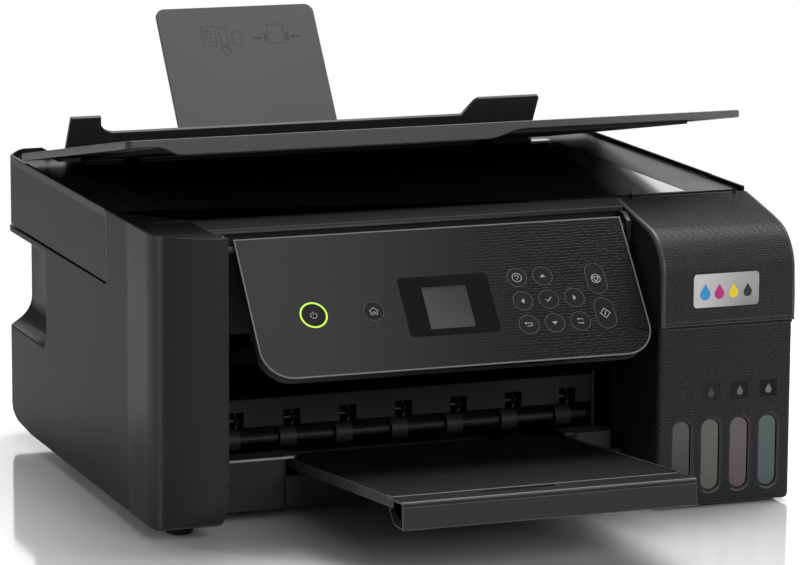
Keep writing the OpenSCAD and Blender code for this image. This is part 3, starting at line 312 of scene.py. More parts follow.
def rounded(node, finish, width=0.5, segments=2, edge=None, flush=(), broad=(), change=None):
    """A copy of a CAD node with merged corners and broken edges, shown in its place. Edges on a
    flush plane, (axis, place), stay sharp, because the next piece meets them there. Edges inside a
    broad box, (low corner, high corner, share), are broken by another share of the width. A change
    moves each corner first, and edge is the finish of the broken edges."""
    bend, on_plane, least_width = math.radians(28), 0.05 * MM, 0.12
    work = bmesh.new()
    work.from_mesh(frame["nodes"][node].data)
    bmesh.ops.remove_doubles(work, verts=work.verts, dist=2e-6)
    for v in work.verts if change else ():
        v.co = change(v.co)
    bmesh.ops.dissolve_limit(
        work, angle_limit=math.radians(0.5), verts=work.verts, edges=work.edges)
    bmesh.ops.recalc_face_normals(work, faces=work.faces)
    weight = work.edges.layers.float.new("bevel_weight_edge")
    for line in work.edges:
        if any(all(abs(v.co[axis] - place) < on_plane for v in line.verts)
               for axis, place in flush):
            continue
        share = 1
        for low, high, other in broad:
            if all(low[i] <= v.co[i] <= high[i] for v in line.verts for i in range(3)):
                share = other
        if share and line.is_manifold and line.calc_face_angle(0) > bend and line.is_convex:
            share *= clearance(line, width * share * MM)
            line[weight] = share if share * width > least_width else 0
    mesh = bpy.data.meshes.new(node)
    work.to_mesh(mesh)
    work.free()
    mesh.materials.clear()
    mesh.materials.append(finish.material)
    mesh.materials.append((edge or finish).material)
    broken = evaluated(mesh, node, "BEVEL", {
        "width": width * MM, "segments": segments, "limit_method": "WEIGHT",
        "use_clamp_overlap": False, "material": 1 if edge else -1, "loop_slide": True})
    show(smoothed(broken, node), node + "_shown", body_of(node), slot_of(node), replaced=[node])


def painted(node, finish):
    """A CAD node shown as it is, in a finish of its own."""
    mesh = frame["nodes"][node].data
    mesh.materials.clear()
    mesh.materials.append(finish.material)


flare_y, flare_depth = (8, 72), 11.5


def flare(finish):
    """Soft swell that leads the upright faces into the rounded column, away from its top."""
    upright = 1 - finish.facing("Z").math("ABSOLUTE") > 0.5
    return finish.bump(finish.along((0, 1, 0), at(0, 0, 0)).ramp(*flare_y) * upright, -flare_depth)


case_plastic = moulded("case_plastic", 0.014, 0.29, shine=0.04, under=flare)
side_plastic = moulded("side_plastic", 0.014, 0.29, shine=0.04, under=flare)
# painted light: the side covers are painted paler towards the front, adding to the bright line down
# the rounded column, and darker towards the rear
side_painted_light = side_plastic.along((0, 1, 0), at(0, 0, 0)).ramp(44, 2)
side_plastic.set(Base_Color=side_plastic.mix(side_painted_light, grey(0.007), grey(0.027)))
side_joint = ((1, at(0, 110, 0).y), (1, at(0, 68.6, 0).y))
lower_corner = (at(-190, -1, 8.5), at(-150, 24, 45), 0)
for part in ("left_cover", "right_cover"):
    rounded(part, side_plastic, 0.8, 3, flush=side_joint, broad=[lower_corner])
rounded("base_pan", moulded("base_plastic", 0.022, 0.45, shine=0.15), 0.5)
rounded("rear_cover", case_plastic, 0.4)
rounded("front_band", moulded("band_plastic", 0.022, 0.36, shine=0.2), 0.4)
painted("rubber_feet", moulded("foot_rubber", 0.008, 0.75, 0.03))


class Drawing:
    """Thin flat shapes in millimetres on a plane, gathered into one mesh."""

    def __init__(self, low=-0.02, high=0.06):
        self.work, self.low, self.high = bmesh.new(), low, high

    def shape(self, loop):
        top = [self.work.verts.new((x, y, self.high)) for x, y in loop]
        low = [self.work.verts.new((x, y, self.low)) for x, y in loop]
        self.work.faces.new(top)
        self.work.faces.new(low[::-1])
        for i in range(len(loop)):
            self.work.faces.new((top[i - 1], low[i - 1], low[i], top[i]))
        return self

    def strip(self, first, second, closed):
        corners = (first, self.high), (second, self.high), (second, self.low), (first, self.low)
        rows = [[self.work.verts.new((x, y, z)) for x, y in line] for line, z in corners]
        count = len(first)
        for i in range(0 if closed else 1, count):
            for a, b in ((0, 1), (1, 2), (2, 3), (3, 0)):
                self.work.faces.new((rows[a][i - 1], rows[b][i - 1], rows[b][i], rows[a][i]))
        if not closed:
            for i in (0, -1):
                self.work.faces.new([row[i] for row in rows])
        return self

    def stroke(self, points, width, closed=False):
        points = [Vector(p) for p in points]
        count = len(points)
        first, second = [], []
        for i, p in enumerate(points):
            before = (p - points[i - 1] if closed or i else points[1] - p).normalized()
            last = not closed and i == count - 1
            after = before if last else (points[(i + 1) % count] - p).normalized()
            lean = (before + after).normalized()
            out = Vector((-lean.y, lean.x)) * width / 2 / max(0.5, lean.dot(after))
            first.append(p + out)
            second.append(p - out)
        return self.strip(first, second, closed)

    def ring(self, x, y, outer, inner, count=48):
        wide, narrow = (arc(x, y, radius, 0, 360, count)[:-1] for radius in (outer, inner))
        return self.strip(wide, narrow, True)

    def mesh(self, name, place):
        bmesh.ops.recalc_face_normals(self.work, faces=self.work.faces)
        made = bpy.data.meshes.new(name)
        self.work.to_mesh(made)
        self.work.free()
        made.transform(place)
        return made

    def put(self, name, place, body, slot, finish):
        """Shows the shapes as one piece on a body."""
        return show(self.mesh(name, place), name, body, slot, [finish])


def arc(x, y, radius, start, end, count=24):
    angles = [math.radians(start + (end - start) * i / count) for i in range(count + 1)]
    return [(x + radius * math.cos(a), y + radius * math.sin(a)) for a in angles]


def rectangle(left, low, right, high):
    return [(left, low), (right, low), (right, high), (left, high)]


def rounded_box(x, y, w, h, r):
    return [p for sx, sy, a in ((1, 1, 0), (-1, 1, 90), (-1, -1, 180), (1, -1, 270))
            for p in arc(x + sx * (w / 2 - r), y + sy * (h / 2 - r), r, a, a + 90, 5)]


def drop(x, y, size):
    """Outline of an ink drop with its point up."""
    low = arc(x, y - size * 0.18, size * 0.62, 150, 390, 18)
    return low + [(x, y + size)]


def plane(origin, x_axis, y_axis):
    x_axis, y_axis = Vector(x_axis).normalized(), Vector(y_axis).normalized()
    axes = Matrix((x_axis, y_axis, x_axis.cross(y_axis))).transposed().to_4x4()
    return Matrix.Translation(origin) @ axes @ Matrix.Scale(MM, 4)


def front_plane(y):
    return plane(at(0, y, 0), (1, 0, 0), (0, 0, 1))


# the scanner's side meets the column in an upright joint; a pale strip on its edge is a painted
# highlight
left_face = plane(at(-187.5, 0, 0), (0, -1, 0), (0, 0, 1)) @ Matrix.Diagonal((-1, 1, 1, 1))
Drawing(-0.05, 0.05).shape(rectangle(109.6, 131.8, 110.5, 172)).put(
    "joint_line", left_face, "case", "case_black", moulded("joint_highlight", 0.13, 0.4))
# the stops beside the tray have a rounded top edge; a pale strip along it is a painted highlight
stop_outline = [(-138, 36.6), (-97.5, 36.6), (-97.5, 37.9), (-136.6, 37.9), (-138, 37.2)]
Drawing(-0.05, 0.1).shape(stop_outline).put(
    "stop_edge", front_plane(47.5), "case", "case_black", moulded("stop_highlight", 0.26, 0.35))


# Ink tank unit. The housing and its lid are moulded in black with a woven relief of short wavy
# dashes; four clear tanks stand behind slotted windows.
def woven(finish, across, along, row=1.75, dash=4.6):
    """Rows of short dashes, staggered like bricks: 1 on a dash and 0 between them."""
    wave = finish.noise(170, 2)
    line = along / row + wave * 1.5
    row_number = line.math("FLOOR")
    shift = finish.node("ShaderNodeTexWhiteNoise", {"noise_dimensions": "1D"}, W=row_number)
    cell = across / dash + shift * 7
    high = 1 - (line.math("FRACT") - 0.5).math("ABSOLUTE").ramp(0.12, 0.34)
    wide = 1 - (cell.math("FRACT") - 0.5).math("ABSOLUTE").ramp(0.30, 0.46)
    return high * wide


def woven_plastic(name, level, rough, shine, depth, dark, top=(200, 300)):
    """Black plastic with the woven relief, darker on its dashes, and with painted shade above the
    heights in top.
    """
    made = Finish(name)
    dashes = woven(made, made.along((1, 0, 0)), made.along((0, 0.9, 1)))
    tone = made.mix(dashes, grey(level), grey(level * dark))
    # painted shade: the tone darkens above the heights in top
    tone = made.mix(made.along((0, 0, 1)).ramp(*top), tone, grey(level * 0.15))
    return made.set(
        Base_Color=tone, Roughness=made.cloud() * 0.08 + (rough - 0.04) + dashes * 0.1,
        Normal=made.bump(dashes, -depth, made.bump(made.grain(), 0.015)), Specular_IOR_Level=shine)


tank_left, tank_right, seam_z = 104.5, 187, (104.9, 105.3, 106.7)
# the housing's broken edges and the lip above the seam carry a painted highlight in a paler grey
tank_edge_highlight = moulded("tank_edge_highlight", 0.05, 0.36, shine=0.2)
rounded("tank_housing", woven_plastic("tank_plastic", 0.020, 0.42, 0.2, 0.2, 0.5), edge=tank_edge_highlight)
Drawing(-0.05, 0.05).shape(rectangle(tank_left, seam_z[1], tank_right, seam_z[2])).put(
    "cover_seam", front_plane(0), "case", "case_black", moulded("seam_black", 0.001, 0.8))
Drawing(-0.05, 0.05).shape(rectangle(tank_left, seam_z[0], tank_right, seam_z[1])).put(
    "housing_lip", front_plane(0), "case", "case_black", tank_edge_highlight)
# the lid's top, above the heights given, carries painted shade
cover_plastic = woven_plastic("tank_cover_plastic", 0.028, 0.36, 0.13, 0.14, 0.55, (152, 167))
cover_foot = (at(100, -9, 100), at(200, 80, 107.5), 0.15)
# the lid's broken edges carry a painted highlight in a paler grey
rounded("tank_cover", cover_plastic, 2.6, 4, moulded("cover_edge_highlight", 0.055, 0.34, shine=0.3),
        broad=[cover_foot])

# the inks, one colour per tank, paler towards the top
tank_x0, tank_pitch = 119, 18
inks = ((0.036, 0.037, 0.040, 1), (0.098, 0.094, 0.074, 1),
        (0.100, 0.072, 0.090, 1), (0.060, 0.088, 0.096, 1))
ink = Finish("ink_clear")
tone, across = inks[0], ink.along((1, 0, 0))
for i in (1, 2, 3):
    tone = ink.mix(across > tank_x0 + (i - 0.5) * tank_pitch, tone, inks[i])
lifted = ink.along((0, 0, 1)).ramp(8, 52, 0.0, 0.35)
ink.set(Base_Color=ink.mix(lifted, tone, grey(0.14)), Roughness=ink.noise(30) * 0.1 + 0.22,
        Coat_Weight=0.1, Specular_IOR_Level=0.3)
painted("ink_tanks", ink)


class Steps(Finish):
    """A geometry tree with named inputs, run on a mesh and kept as a plain one."""

    def __init__(self, name, **inputs):
        self.tree, self.values = bpy.data.node_groups.new(name, "GeometryNodeTree"), inputs
        sockets = self.tree.interface
        sockets.new_socket("Geometry", in_out="INPUT", socket_type="NodeSocketGeometry")
        for key, value in inputs.items():
            kind = {int: "NodeSocketInt", float: "NodeSocketFloat"}[type(value)]
            sockets.new_socket(key, in_out="INPUT", socket_type=kind)
        sockets.new_socket("Geometry", in_out="OUTPUT", socket_type="NodeSocketGeometry")
        self.entry = self.tree.nodes.new("NodeGroupInput")

    def given(self, name):
        return Value(self, self.entry.outputs[name])

    def joined(self, *parts):
        join = self.node("GeometryNodeJoinGeometry")
        for part in parts:
            self.feed(join.socket.node.inputs[0], part)
        return join

    def vector(self, x, y, z):
        return self.node("ShaderNodeCombineXYZ", None, x, y, z)

    def ends(self, result, finish):
        solid = self.node("GeometryNodeRealizeInstances", None, result)
        coated = self.node("GeometryNodeSetMaterial", None, solid, Material=finish.material)
        self.feed(self.tree.nodes.new("NodeGroupOutput").inputs[0], coated)
        return self

    def run(self, mesh, name):
        inputs = [(item.identifier, self.values[item.name])
                  for item in self.tree.interface.items_tree
                  if item.in_out == "INPUT" and item.name in self.values]
        return evaluated(mesh, name, "NODES", {"node_group": self.tree}, inputs)


def row_of_four(drawing, name, y, finish):
    """One drawing at the first tank, repeated at the tanks' pitch."""
    row = Steps(name + "_row", Count=4, Pitch=tank_pitch * MM)
    places = row.node("GeometryNodeMeshLine", None, Count=row.given("Count"),
                      Offset=row.vector(row.given("Pitch"), 0.0, 0.0))
    row.ends(row.node("GeometryNodeInstanceOnPoints", None, places, Instance=row.given("Geometry")),
             finish)
    first = drawing.mesh(name + "_one", front_plane(y))
    show(row.run(first, name), name, "case", slot_of("tank_housing"))


# each window has two fill marks, a rim that catches the light below and at the right, and a
# dark label square with a drop over it; the squares and drops stand out more towards the right
window_w, window_z, mark_w = 11.5, (10, 51.8), 5.2
marks, rims, hooks = Drawing(), Drawing(-0.05, 0.05), Drawing(-0.05, 0.06)
for z in (17, 43.5):
    marks.stroke([(tank_x0 - mark_w / 2, z), (tank_x0 + mark_w / 2, z)], 0.35)
rim_r, top_z, low_z = window_w / 2 + 1.3, window_z[1] - window_w / 2, window_z[0] + window_w / 2
rims.stroke(arc(tank_x0, top_z + 0.4, rim_r, 78, 0, 10) + arc(tank_x0, low_z, rim_r, 0, -40, 6),
            0.4)
hooks.stroke(arc(tank_x0, low_z, rim_r, -38, -128, 12), 0.5)
row_of_four(marks, "fill_marks", 1, moulded("mark_grey", 0.10, 0.35, 0.002))
row_of_four(rims, "window_rims", 0, moulded("rim_grey", 0.05, 0.3, 0.002))
row_of_four(hooks, "window_rims_low", 0, moulded("rim_pale", 0.14, 0.3, 0.002))


def stronger(name, first, last, rough):
    """A finish whose tone goes from the first tank's to the last one's."""
    made = Finish(name)
    across = made.along((1, 0, 0)).ramp(tank_x0, tank_x0 + 3 * tank_pitch)
    return made.set(Base_Color=made.mix(across, grey(first), grey(last)),
                    Roughness=made.noise(400) * 0.1 + rough, Specular_IOR_Level=0.2)


label_z, label_w, label_h = 67.3, 10.8, 10.4
row_of_four(Drawing(-0.1, 0.34).shape(rounded_box(tank_x0, label_z, label_w, label_h, 1)),
            "tank_labels", 0.4, stronger("label_black", 0.013, 0.002, 0.3))
row_of_four(Drawing(0.34, 0.39).shape(drop(tank_x0, label_z - 0.3, 3.1)),
            "label_drops", 0.4, stronger("drop_grey", 0.024, 0.16, 0.4))


def coloured(name, colour, shade, scale, rough):
    """A colour that is a little uneven in tone and gloss; shade is its darkest part."""
    made = Finish(name)
    ground = made.noise(scale)
    return made.set(Base_Color=made.mix(ground, (*[c * shade for c in colour], 1), (*colour, 1)),
                    Roughness=ground * 0.1 + rough)


# silver plate on the lid with a row of ink drops; its sheen and the paler glare towards its left
# are painted reflections
silver = Finish("plate_silver")
sheen = silver.along((0.25, 0, 1), at(123.5, 0, 117)).ramp(0, 26)
brushed = silver.node("ShaderNodeTexNoise", None, Scale=900.0, Detail=2.0, Vector=silver.node(
    "ShaderNodeVectorMath", {"operation": "MULTIPLY"}, silver.place, (0.05, 1, 1)))
plate_painted_glare = silver.along((-1, 0, 0), at(163.5, 0, 0)).ramp(0, 40, 0.0, 0.8)
plate_tone = silver.mix(sheen, grey(0.22), grey(0.36))
silver.set(Base_Color=silver.mix(plate_painted_glare, plate_tone, grey(0.66)), Metallic=0.4,
           Roughness=brushed * 0.1 + 0.3)
lid_front = front_plane(-3)
Drawing(-0.1, 0.35).shape(rounded_box(143.75, 126.9, 40.5, 19.2, 2.2)).put(
    "cover_plate", lid_front, "tank_lid", "cover_black", silver)
printed = (("cyan", (0.02, 0.28, 0.62)), ("magenta", (0.5, 0.01, 0.2)),
           ("yellow", (0.85, 0.62, 0.02)), ("black", (0.012, 0.012, 0.014)))
for i, (name, colour) in enumerate(printed):
    Drawing(0.35, 0.4).shape(drop(130.6 + 8.8 * i, 125.7, 5.2 - 0.3 * i)).put(
        "plate_drop_" + name, lid_front, "tank_lid", "cover_black",
        coloured("print_" + name, colour, 0.92, 300, 0.3))

for name, colour in (("black", (0.012, 0.012, 0.013)), ("yellow", (0.55, 0.42, 0.03)),
                     ("magenta", (0.42, 0.02, 0.16)), ("cyan", (0.02, 0.2, 0.42))):
    painted("cap_" + name, coloured("cap_" + name, colour, 0.85, 500, 0.4))


# Print mechanism. A zinc-plated sheet frame carries the guide rail, the belt, the head and the
# rollers; the moulded parts inside are black.
zinc = Finish("zinc_steel")
spangle = zinc.noise(160, 4)
zinc.set(Base_Color=zinc.mix(spangle, grey(0.05), grey(0.085)), Metallic=0.85,
         Roughness=spangle * 0.2 + 0.35)
for node in ("chassis", "star_wheels", "carriage_motor"):
    painted(node, zinc)
inner = moulded("inner_plastic", 0.014, 0.5)
for node in ("platen", "star_wheel_bar"):
    rounded(node, inner, 0.3)
for node in ("carriage", "capping_station", "power_supply", "idler_pulley", "edge_guide_left",
             "edge_guide_right"):
    painted(node, inner)
roller_rubber = moulded("roller_rubber", 0.02, 0.55, 0.03)
for node in ("feed_roller", "exit_roller", "pickup_roller"):
    painted(node, roller_rubber)
painted("print_head", moulded("head_grey", 0.06, 0.4))
painted("waste_ink_pad", moulded("pad_felt", 0.4, 0.9, 0.2, warm=0.04))
solder_mask = Finish("solder_mask")
tracks = solder_mask.noise(700, 1)
deep_green, track_green = (0.008, 0.05, 0.02, 1), (0.015, 0.08, 0.03, 1)
solder_mask.set(Base_Color=solder_mask.mix(tracks.ramp(0.45, 0.55), deep_green, track_green),
                Roughness=tracks * 0.1 + 0.3)
painted("main_board", solder_mask)
brass = Finish("turned_brass")
turned = brass.noise(900)
brass.set(Base_Color=brass.mix(turned, (0.45, 0.33, 0.1, 1), (0.6, 0.45, 0.16, 1)), Metallic=0.9,
          Roughness=turned * 0.1 + 0.3)
painted("motor_pulley", brass)

# the belt is a toothed strap round the two pulleys
belt = Steps("belt_steps", Width=6 * MM, Thickness=0.7 * MM, Pitch=2.0 * MM, Tooth=0.55 * MM)
loop = belt.node("GeometryNodeMeshToCurve", None, belt.given("Geometry"))
strap = belt.node("GeometryNodeCurveToMesh", None, loop, belt.node(
    "GeometryNodeCurvePrimitiveQuadrilateral", None, belt.given("Thickness"), belt.given("Width")))
tooth_size = belt.vector(belt.given("Pitch") * 0.5, belt.given("Width"), belt.given("Tooth") * 2)
teeth = belt.node(
    "GeometryNodeInstanceOnPoints", None,
    belt.node("GeometryNodeCurveToPoints", {"mode": "LENGTH"}, loop, Length=belt.given("Pitch")),
    Instance=belt.node("GeometryNodeMeshCube", None, tooth_size),
    Rotation=belt.node("FunctionNodeAlignRotationToVector", {"axis": "X", "pivot_axis": "Y"},
                       Vector=belt.node("GeometryNodeInputTangent")))
belt.ends(belt.joined(strap, teeth), moulded("belt_rubber", 0.01, 0.6))
low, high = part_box("drive_belt")
middle, turn_r = (low + high) / 2, (high.z - low.z) / 2
strap_r = (turn_r - 0.5 * MM) / MM
points = [(x + u * MM, middle.y, middle.z + v * MM)
          for x, start in ((low.x + turn_r, 90), (high.x - turn_r, -90))
          for u, v in arc(0, 0, strap_r, start, start + 180, 16)]
path = bpy.data.meshes.new("belt_path")
path.from_pydata(points, [(i, (i + 1) % len(points)) for i in range(len(points))], [])
show(belt.run(path, "toothed_belt"), "toothed_belt", body_of("drive_belt"), slot_of("drive_belt"),
     replaced=["drive_belt"])

# Rear paper feed. The hopper and its guard are black; the sliding sheet support is a thin dark
# grey plate with sunk pictograms near its top.
rounded("rear_feed_housing", case_plastic, 0.5)
rounded("feeder_guard", moulded("guard_plastic", 0.03, 0.42, shine=0.2), 0.4)
rounded("paper_support", moulded("support_plastic", 0.070, 0.45, shine=0.2), 0.5)
feed_lean, feed_place = math.radians(35.7), (-21.35, 336, 183)
half_thick = Vector((0, -math.cos(feed_lean), math.sin(feed_lean))) * 1.25 * MM
support_face = plane(
    at(*feed_place) + half_thick, (1, 0, 0), (0, math.sin(feed_lean), math.cos(feed_lean)))
# the sunk pictograms are drawn as flat darker lines: painted shade in their recesses
signs = Drawing(-0.05, 0.03)
line_w = 0.55
signs.stroke([(-25, 67), (-16, 67), (-16, 55), (-18, 53), (-25, 53)], line_w, True)
for z in (64, 61.5, 59, 56.5):
    signs.stroke([(-23, z), (-18.4, z)], line_w)
signs.stroke([(-13.5, 66), (-8.5, 66), (-8.5, 53.5), (-13.5, 53.5)], line_w, True)
signs.stroke([(-5.5, 62.5), (1, 62.5), (1, 53.8), (-5.5, 53.8)], line_w, True)
signs.stroke([(-13, 52.3), (-9, 52.3), (-9, 49.8), (-7, 49.8), (-11, 46), (-15, 49.8),
              (-13, 49.8)], line_w, True)
signs.stroke([(18.5, 67), (29, 67), (29, 53.5), (18.5, 53.5)], line_w, True)
for s, x in ((-1, 16.6), (1, 30.9)):
    signs.shape([(x - 1, 60.5), (x + 1, 60.5), (x + 1, 55), (x - 1, 55)])
    signs.shape([(x + s * px, z) for px, z in (
        (8.5, 58.4), (8.5, 57.2), (4.6, 57.2), (4.6, 56.2), (2, 57.8), (4.6, 59.4), (4.6, 58.4))])
signs.put("support_signs", support_face, "support", "support_grey",
          moulded("sign_painted_shade", 0.026, 0.5, 0.002))


# Scanner. The deck is gloss black, the glass lies in it with its black border, and the cover
# over it is satin dark grey.
scan_joint = ((2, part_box("scanner_tray")[1].z), *side_joint)
rounded("scanner_tray", case_plastic, 0.5, flush=scan_joint)
rounded("scanner_deck", moulded("deck_plastic", 0.010, 0.34, 0.01, shine=0.15), 0.4,
        flush=scan_joint)
painted("scanner_glass", moulded("glass_black", 0.012, 0.1, 0.0, shine=0.9))
painted("cis_bar", inner)
lid_plastic = moulded("lid_plastic", 0.045, 0.4, shine=0.3)
# painted light: the cover is painted paler towards the right
lid_painted_light = lid_plastic.along((1, 0, 0)).ramp(30, 185)
lid_plastic.set(Base_Color=lid_plastic.mix(
    lid_painted_light * (lid_plastic.cloud() * 0.2 + 0.9), grey(0.042), grey(0.11)))
rounded("document_cover", lid_plastic, 0.7, 3)
painted("document_mat", moulded("mat_foam", 0.02, 0.9, 0.1))


# Control panel. A printed film in black covers the face: plain at the left, with dark woven
# dashes towards the right. Button outlines and pictograms are printed in pale grey.
panel_at, panel_lean, panel_w = (-18, 44, 163.7), math.radians(39.3), 232
panel_end, panel_r, raised = 88, 18, 5
panel_up = (0, math.sin(panel_lean), math.cos(panel_lean))
face = plane(at(*panel_at), (1, 0, 0), panel_up)
film = Finish("panel_film")
across = film.along((1, 0, 0), at(*panel_at))
fade = across.ramp(-20, 75)
dashes = woven(film, across, film.along(panel_up, at(*panel_at)), 1.9, 6.5) * fade
# painted light: the film's ground is painted paler at the left and darker towards the right
film_painted_light = film.mix(across.ramp(-110, 60), grey(0.034), grey(0.009))
film.set(Base_Color=film.mix(dashes * 0.8, film_painted_light, grey(0.002)),
         Roughness=film.cloud() * 0.08 + 0.32,
         Normal=film.bump(dashes, -0.06, film.bump(film.grain(), 0.01)), Specular_IOR_Level=0.12)


def shorter(place):
    """The panel ends a little above its solid's lower edge, so its lower corners are raised."""
    below = (place - at(*panel_at)).dot(Vector(panel_up)) < -76 * MM
    return place + Vector(panel_up) * raised * MM if below else place


def trimmed(node, name, finish):
    """A copy of a panel node, shortened and flat shaded."""
    mesh = frame["nodes"][node].data.copy()
    for v in mesh.vertices:
        v.co = shorter(v.co)
    mesh.materials.clear()
    show(mesh, name, "panel", slot_of(node), [finish], [node])


trimmed("panel_fascia", "panel_face", film)


def panel_edge(inset):
    """The panel's outline, drawn in from its edge."""
    half, r = panel_w / 2, panel_r - inset
    return (arc(half - panel_r, panel_r - panel_end, r, 0, -90, 12)
            + arc(panel_r - half, panel_r - panel_end, r, 270, 180, 12)
            + [(inset - half, -inset), (half - inset, -inset)])


# a pale strip along the panel's broken edge: a painted highlight
Drawing(-0.6, 0.04).strip(panel_edge(-0.05), panel_edge(0.75), True).put(
    "panel_edge", face, "panel", slot_of("panel_fascia"),
    moulded("panel_edge_highlight", 0.15, 0.3, 0.003, shine=0.15))
rounded("panel_shell", moulded("shell_plastic", 0.034, 0.4, shine=0.15), 0.8, 3, change=shorter)

lcd_x, lcd_z, lcd_w = -0.7, -50.3, 27
lcd_left, lcd_right = lcd_x - lcd_w / 2, lcd_x + lcd_w / 2
bezel_low, bezel_top, corner = -67.9, -30.6, 1.6
bezel = Drawing(-0.02, 0.08)
for inner_x, outer_x, s in ((lcd_left, -27.2, 1), (lcd_right, 26.4, -1)):
    bezel.shape([(outer_x, bezel_top - corner), (outer_x, bezel_low + corner),
                 (outer_x + s * corner, bezel_low), (inner_x, bezel_low), (inner_x, bezel_top),
                 (outer_x + s * corner, bezel_top)])
for low_z, high_z in ((lcd_z + lcd_w / 2, bezel_top), (bezel_low, lcd_z - lcd_w / 2)):
    bezel.shape(rectangle(lcd_left, low_z, lcd_right, high_z))
bezel.put("display_bezel", face, "panel", "cover_black",
          moulded("bezel_black", 0.006, 0.2, 0.0, shine=0.15))
screen = Finish("screen_off")
screen_painted_reflection = screen.along((-0.7, 0, 0), at(*panel_at)) - screen.along(panel_up, at(*panel_at)) * 0.7
# painted reflection: the dark screen is painted paler towards its lower left
screen.set(Base_Color=screen.mix(screen_painted_reflection.ramp(18, 52), grey(0.036), grey(0.062)),
           Roughness=screen.noise(20) * 0.05 + 0.3, Specular_IOR_Level=0.15)
painted("display", screen)


def icon(drawing, name, x, z):
    """Draws a button's pictogram about its centre."""
    def moved(points):
        return [(x + px, z + pz) for px, pz in points]

    turned = {"up": 0, "left": 90, "down": 180, "right": 270}
    if name in turned:
        c, s = math.cos(math.radians(turned[name])), math.sin(math.radians(turned[name]))
        tip = [(0, 1.1), (-1.7, -0.8), (1.7, -0.8)]
        drawing.shape(moved([(px * c - pz * s, px * s + pz * c) for px, pz in tip]))
    elif name == "power":
        drawing.stroke(moved(arc(0, -0.2, 1.8, 125, 415)), 0.4)
        drawing.stroke(moved([(0, 0.1), (0, 2.3)]), 0.4)
    elif name == "home":
        drawing.stroke(moved([(-2.7, -0.1), (0, 2.2), (2.7, -0.1)]), 0.4)
        drawing.stroke(moved([(-1.9, -0.1), (-1.9, -2.1), (-0.6, -2.1), (-0.6, -0.6),
                              (0.6, -0.6), (0.6, -2.1), (1.9, -2.1), (1.9, -0.1)]), 0.35)
    elif name == "help":
        drawing.ring(x, z, 2.9, 2.5)
        drawing.stroke(moved(arc(0, 0.55, 0.95, 175, -45, 12) + [(0, -0.7)]), 0.42)
        drawing.shape(moved(arc(0, -1.45, 0.28, 0, 315, 7)))
    elif name == "ok":
        drawing.stroke(moved([(-1.7, 0.1), (-0.5, -1.2), (1.8, 1.4)]), 0.5)
    elif name == "back":
        bend = arc(1.1, 0, 0.9, 80, -90, 8)
        drawing.stroke(moved([(-1.6, 0.9), (1.1, 0.9)] + bend + [(-1.2, -0.9)]), 0.4)
        drawing.shape(moved([(-2.6, 0.9), (-1.3, 0.15), (-1.3, 1.65)]))
    elif name == "swap":
        for s in (1, -1):
            shaft = [(-s * 0.8, s * 1.3), (s * 1.0, s * 1.3), (s * 1.7, s * 0.8)]
            drawing.stroke(moved(shaft), 0.4)
            drawing.shape(moved([(-s * 2.0, s * 1.3), (-s * 0.8, s * 0.65), (-s * 0.8, s * 1.95)]))
    elif name == "stop":
        drawing.ring(x, z, 2.9, 2.4)
        drawing.stroke(moved([(-1.9, 1.1), (1.9, 1.1), (0, -2.1)]), 0.5, True)
    elif name == "start":
        drawing.stroke(moved([(0, 3), (-3, 0), (0, -3), (3, 0)]), 0.45, True)
        drawing.stroke(moved([(-0.4, -1.3), (0.4, 1.3)]), 0.5)


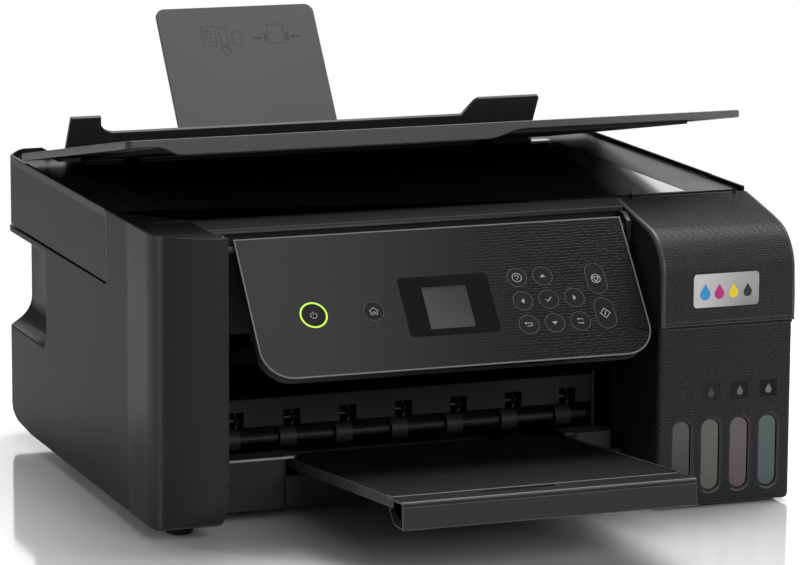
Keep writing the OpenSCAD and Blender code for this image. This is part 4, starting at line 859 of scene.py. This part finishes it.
film_plain = moulded("button_film", 0.013, 0.34, 0.008, shine=0.12)
print_pale = moulded("print_pale", 0.30, 0.5, 0.002)
ring_pale = moulded("ring_pale", 0.12, 0.5, 0.002)
row_z, column_x, power_x, long_x = (-35, -50, -65), (43.8, 59.4, 75.0), -80.2, 91.0
button_r, long_h, ring_w = 6, 19.8, 0.22
keypad = (("help", "up"), ("left", "ok", "right"), ("back", "down", "swap"))
keys = [(name, x, z) for names, z in zip(keypad, row_z) for name, x in zip(names, column_x)]
for name, x, z in (("power", power_x, row_z[1]), ("home", -45.1, row_z[1]), *keys,
                   ("stop", long_x, -38.9), ("start", long_x, -61.1)):
    node = "button_" + name
    painted(node, film_plain)
    sign, outline = Drawing(), Drawing()
    icon(sign, name, x, z)
    sign.put(node + "_sign", face, node, "cover_black", print_pale)
    if name in ("stop", "start"):
        outer, inside = (rounded_box(x, z, 2 * button_r - 2 * gap, long_h - 2 * gap, button_r - gap)
                         for gap in (0, ring_w))
        outline.strip(outer, inside, True)
    else:
        outline.ring(x, z, button_r, button_r - ring_w, 64)
    if name != "power":
        outline.put(node + "_outline", face, node, "cover_black", ring_pale)
# the power button has a lit ring in place of an outline
glow = Finish("power_glow")
pulse = glow.noise(60)
lit_green = glow.mix(pulse, (0.42, 0.68, 0.06, 1), (0.5, 0.75, 0.08, 1))
glow.set(Base_Color=(0.2, 0.4, 0.02, 1), Emission_Color=lit_green, Emission_Strength=1.0,
         Roughness=0.4)
Drawing(0.0, 0.09).ring(power_x, row_z[1], 8.0, 7.0, 72).put(
    "power_ring", face, "panel", "cover_black", glow)


# Output tray. A smooth black tray with painted light, paler towards its front, with a rolled lip on
# its sliding extension; the moulded edges carry a painted highlight in a paler grey.
def tray_black(name, dark, pale):
    """Black with painted light: paler towards the front, on the front faces and on the faces turned
    to the left.
    """
    made = Finish(name)
    painted_light_forward = made.along((0, -1, 0), at(0, 40, 0)).ramp(0, 130)
    painted_light_flank, front = made.facing("X") < -0.5, made.facing("Y") < -0.5
    top = made.mix(painted_light_forward, grey(dark), grey(pale * 0.35))
    return made.set(
        Base_Color=made.mix(painted_light_flank, made.mix(front, top, grey(pale)), grey(0.05)),
        Roughness=made.cloud() * 0.08 + 0.38, Normal=made.bump(made.grain(), 0.02),
        Specular_IOR_Level=0.1)


# the tray's broken edges and the rim of its lip carry a painted highlight in a paler grey
lip_edge_highlight = moulded("lip_edge_highlight", 0.08, 0.35, shine=0.3)
rounded("output_tray", tray_black("tray_plastic", 0.004, 0.025),
        edge=moulded("tray_edge_highlight", 0.07, 0.4))
rounded("tray_extension", tray_black("tray_lip_plastic", 0.006, 0.032), edge=lip_edge_highlight)
lip_end = plane(at(-97.5, 0, 0), (0, -1, 0), (0, 0, 1)) @ Matrix.Diagonal((1, 1, -1, 1))
lip_outline = [(125.8, 50.3), (125.8, 36.6), (112.6, 36.6), (106.6, 43), (107.6, 49.6)]
Drawing(-0.05, 0.06).stroke(lip_outline, 0.55, True).put(
    "lip_rim", lip_end, "tray_end", slot_of("tray_extension"), lip_edge_highlight)
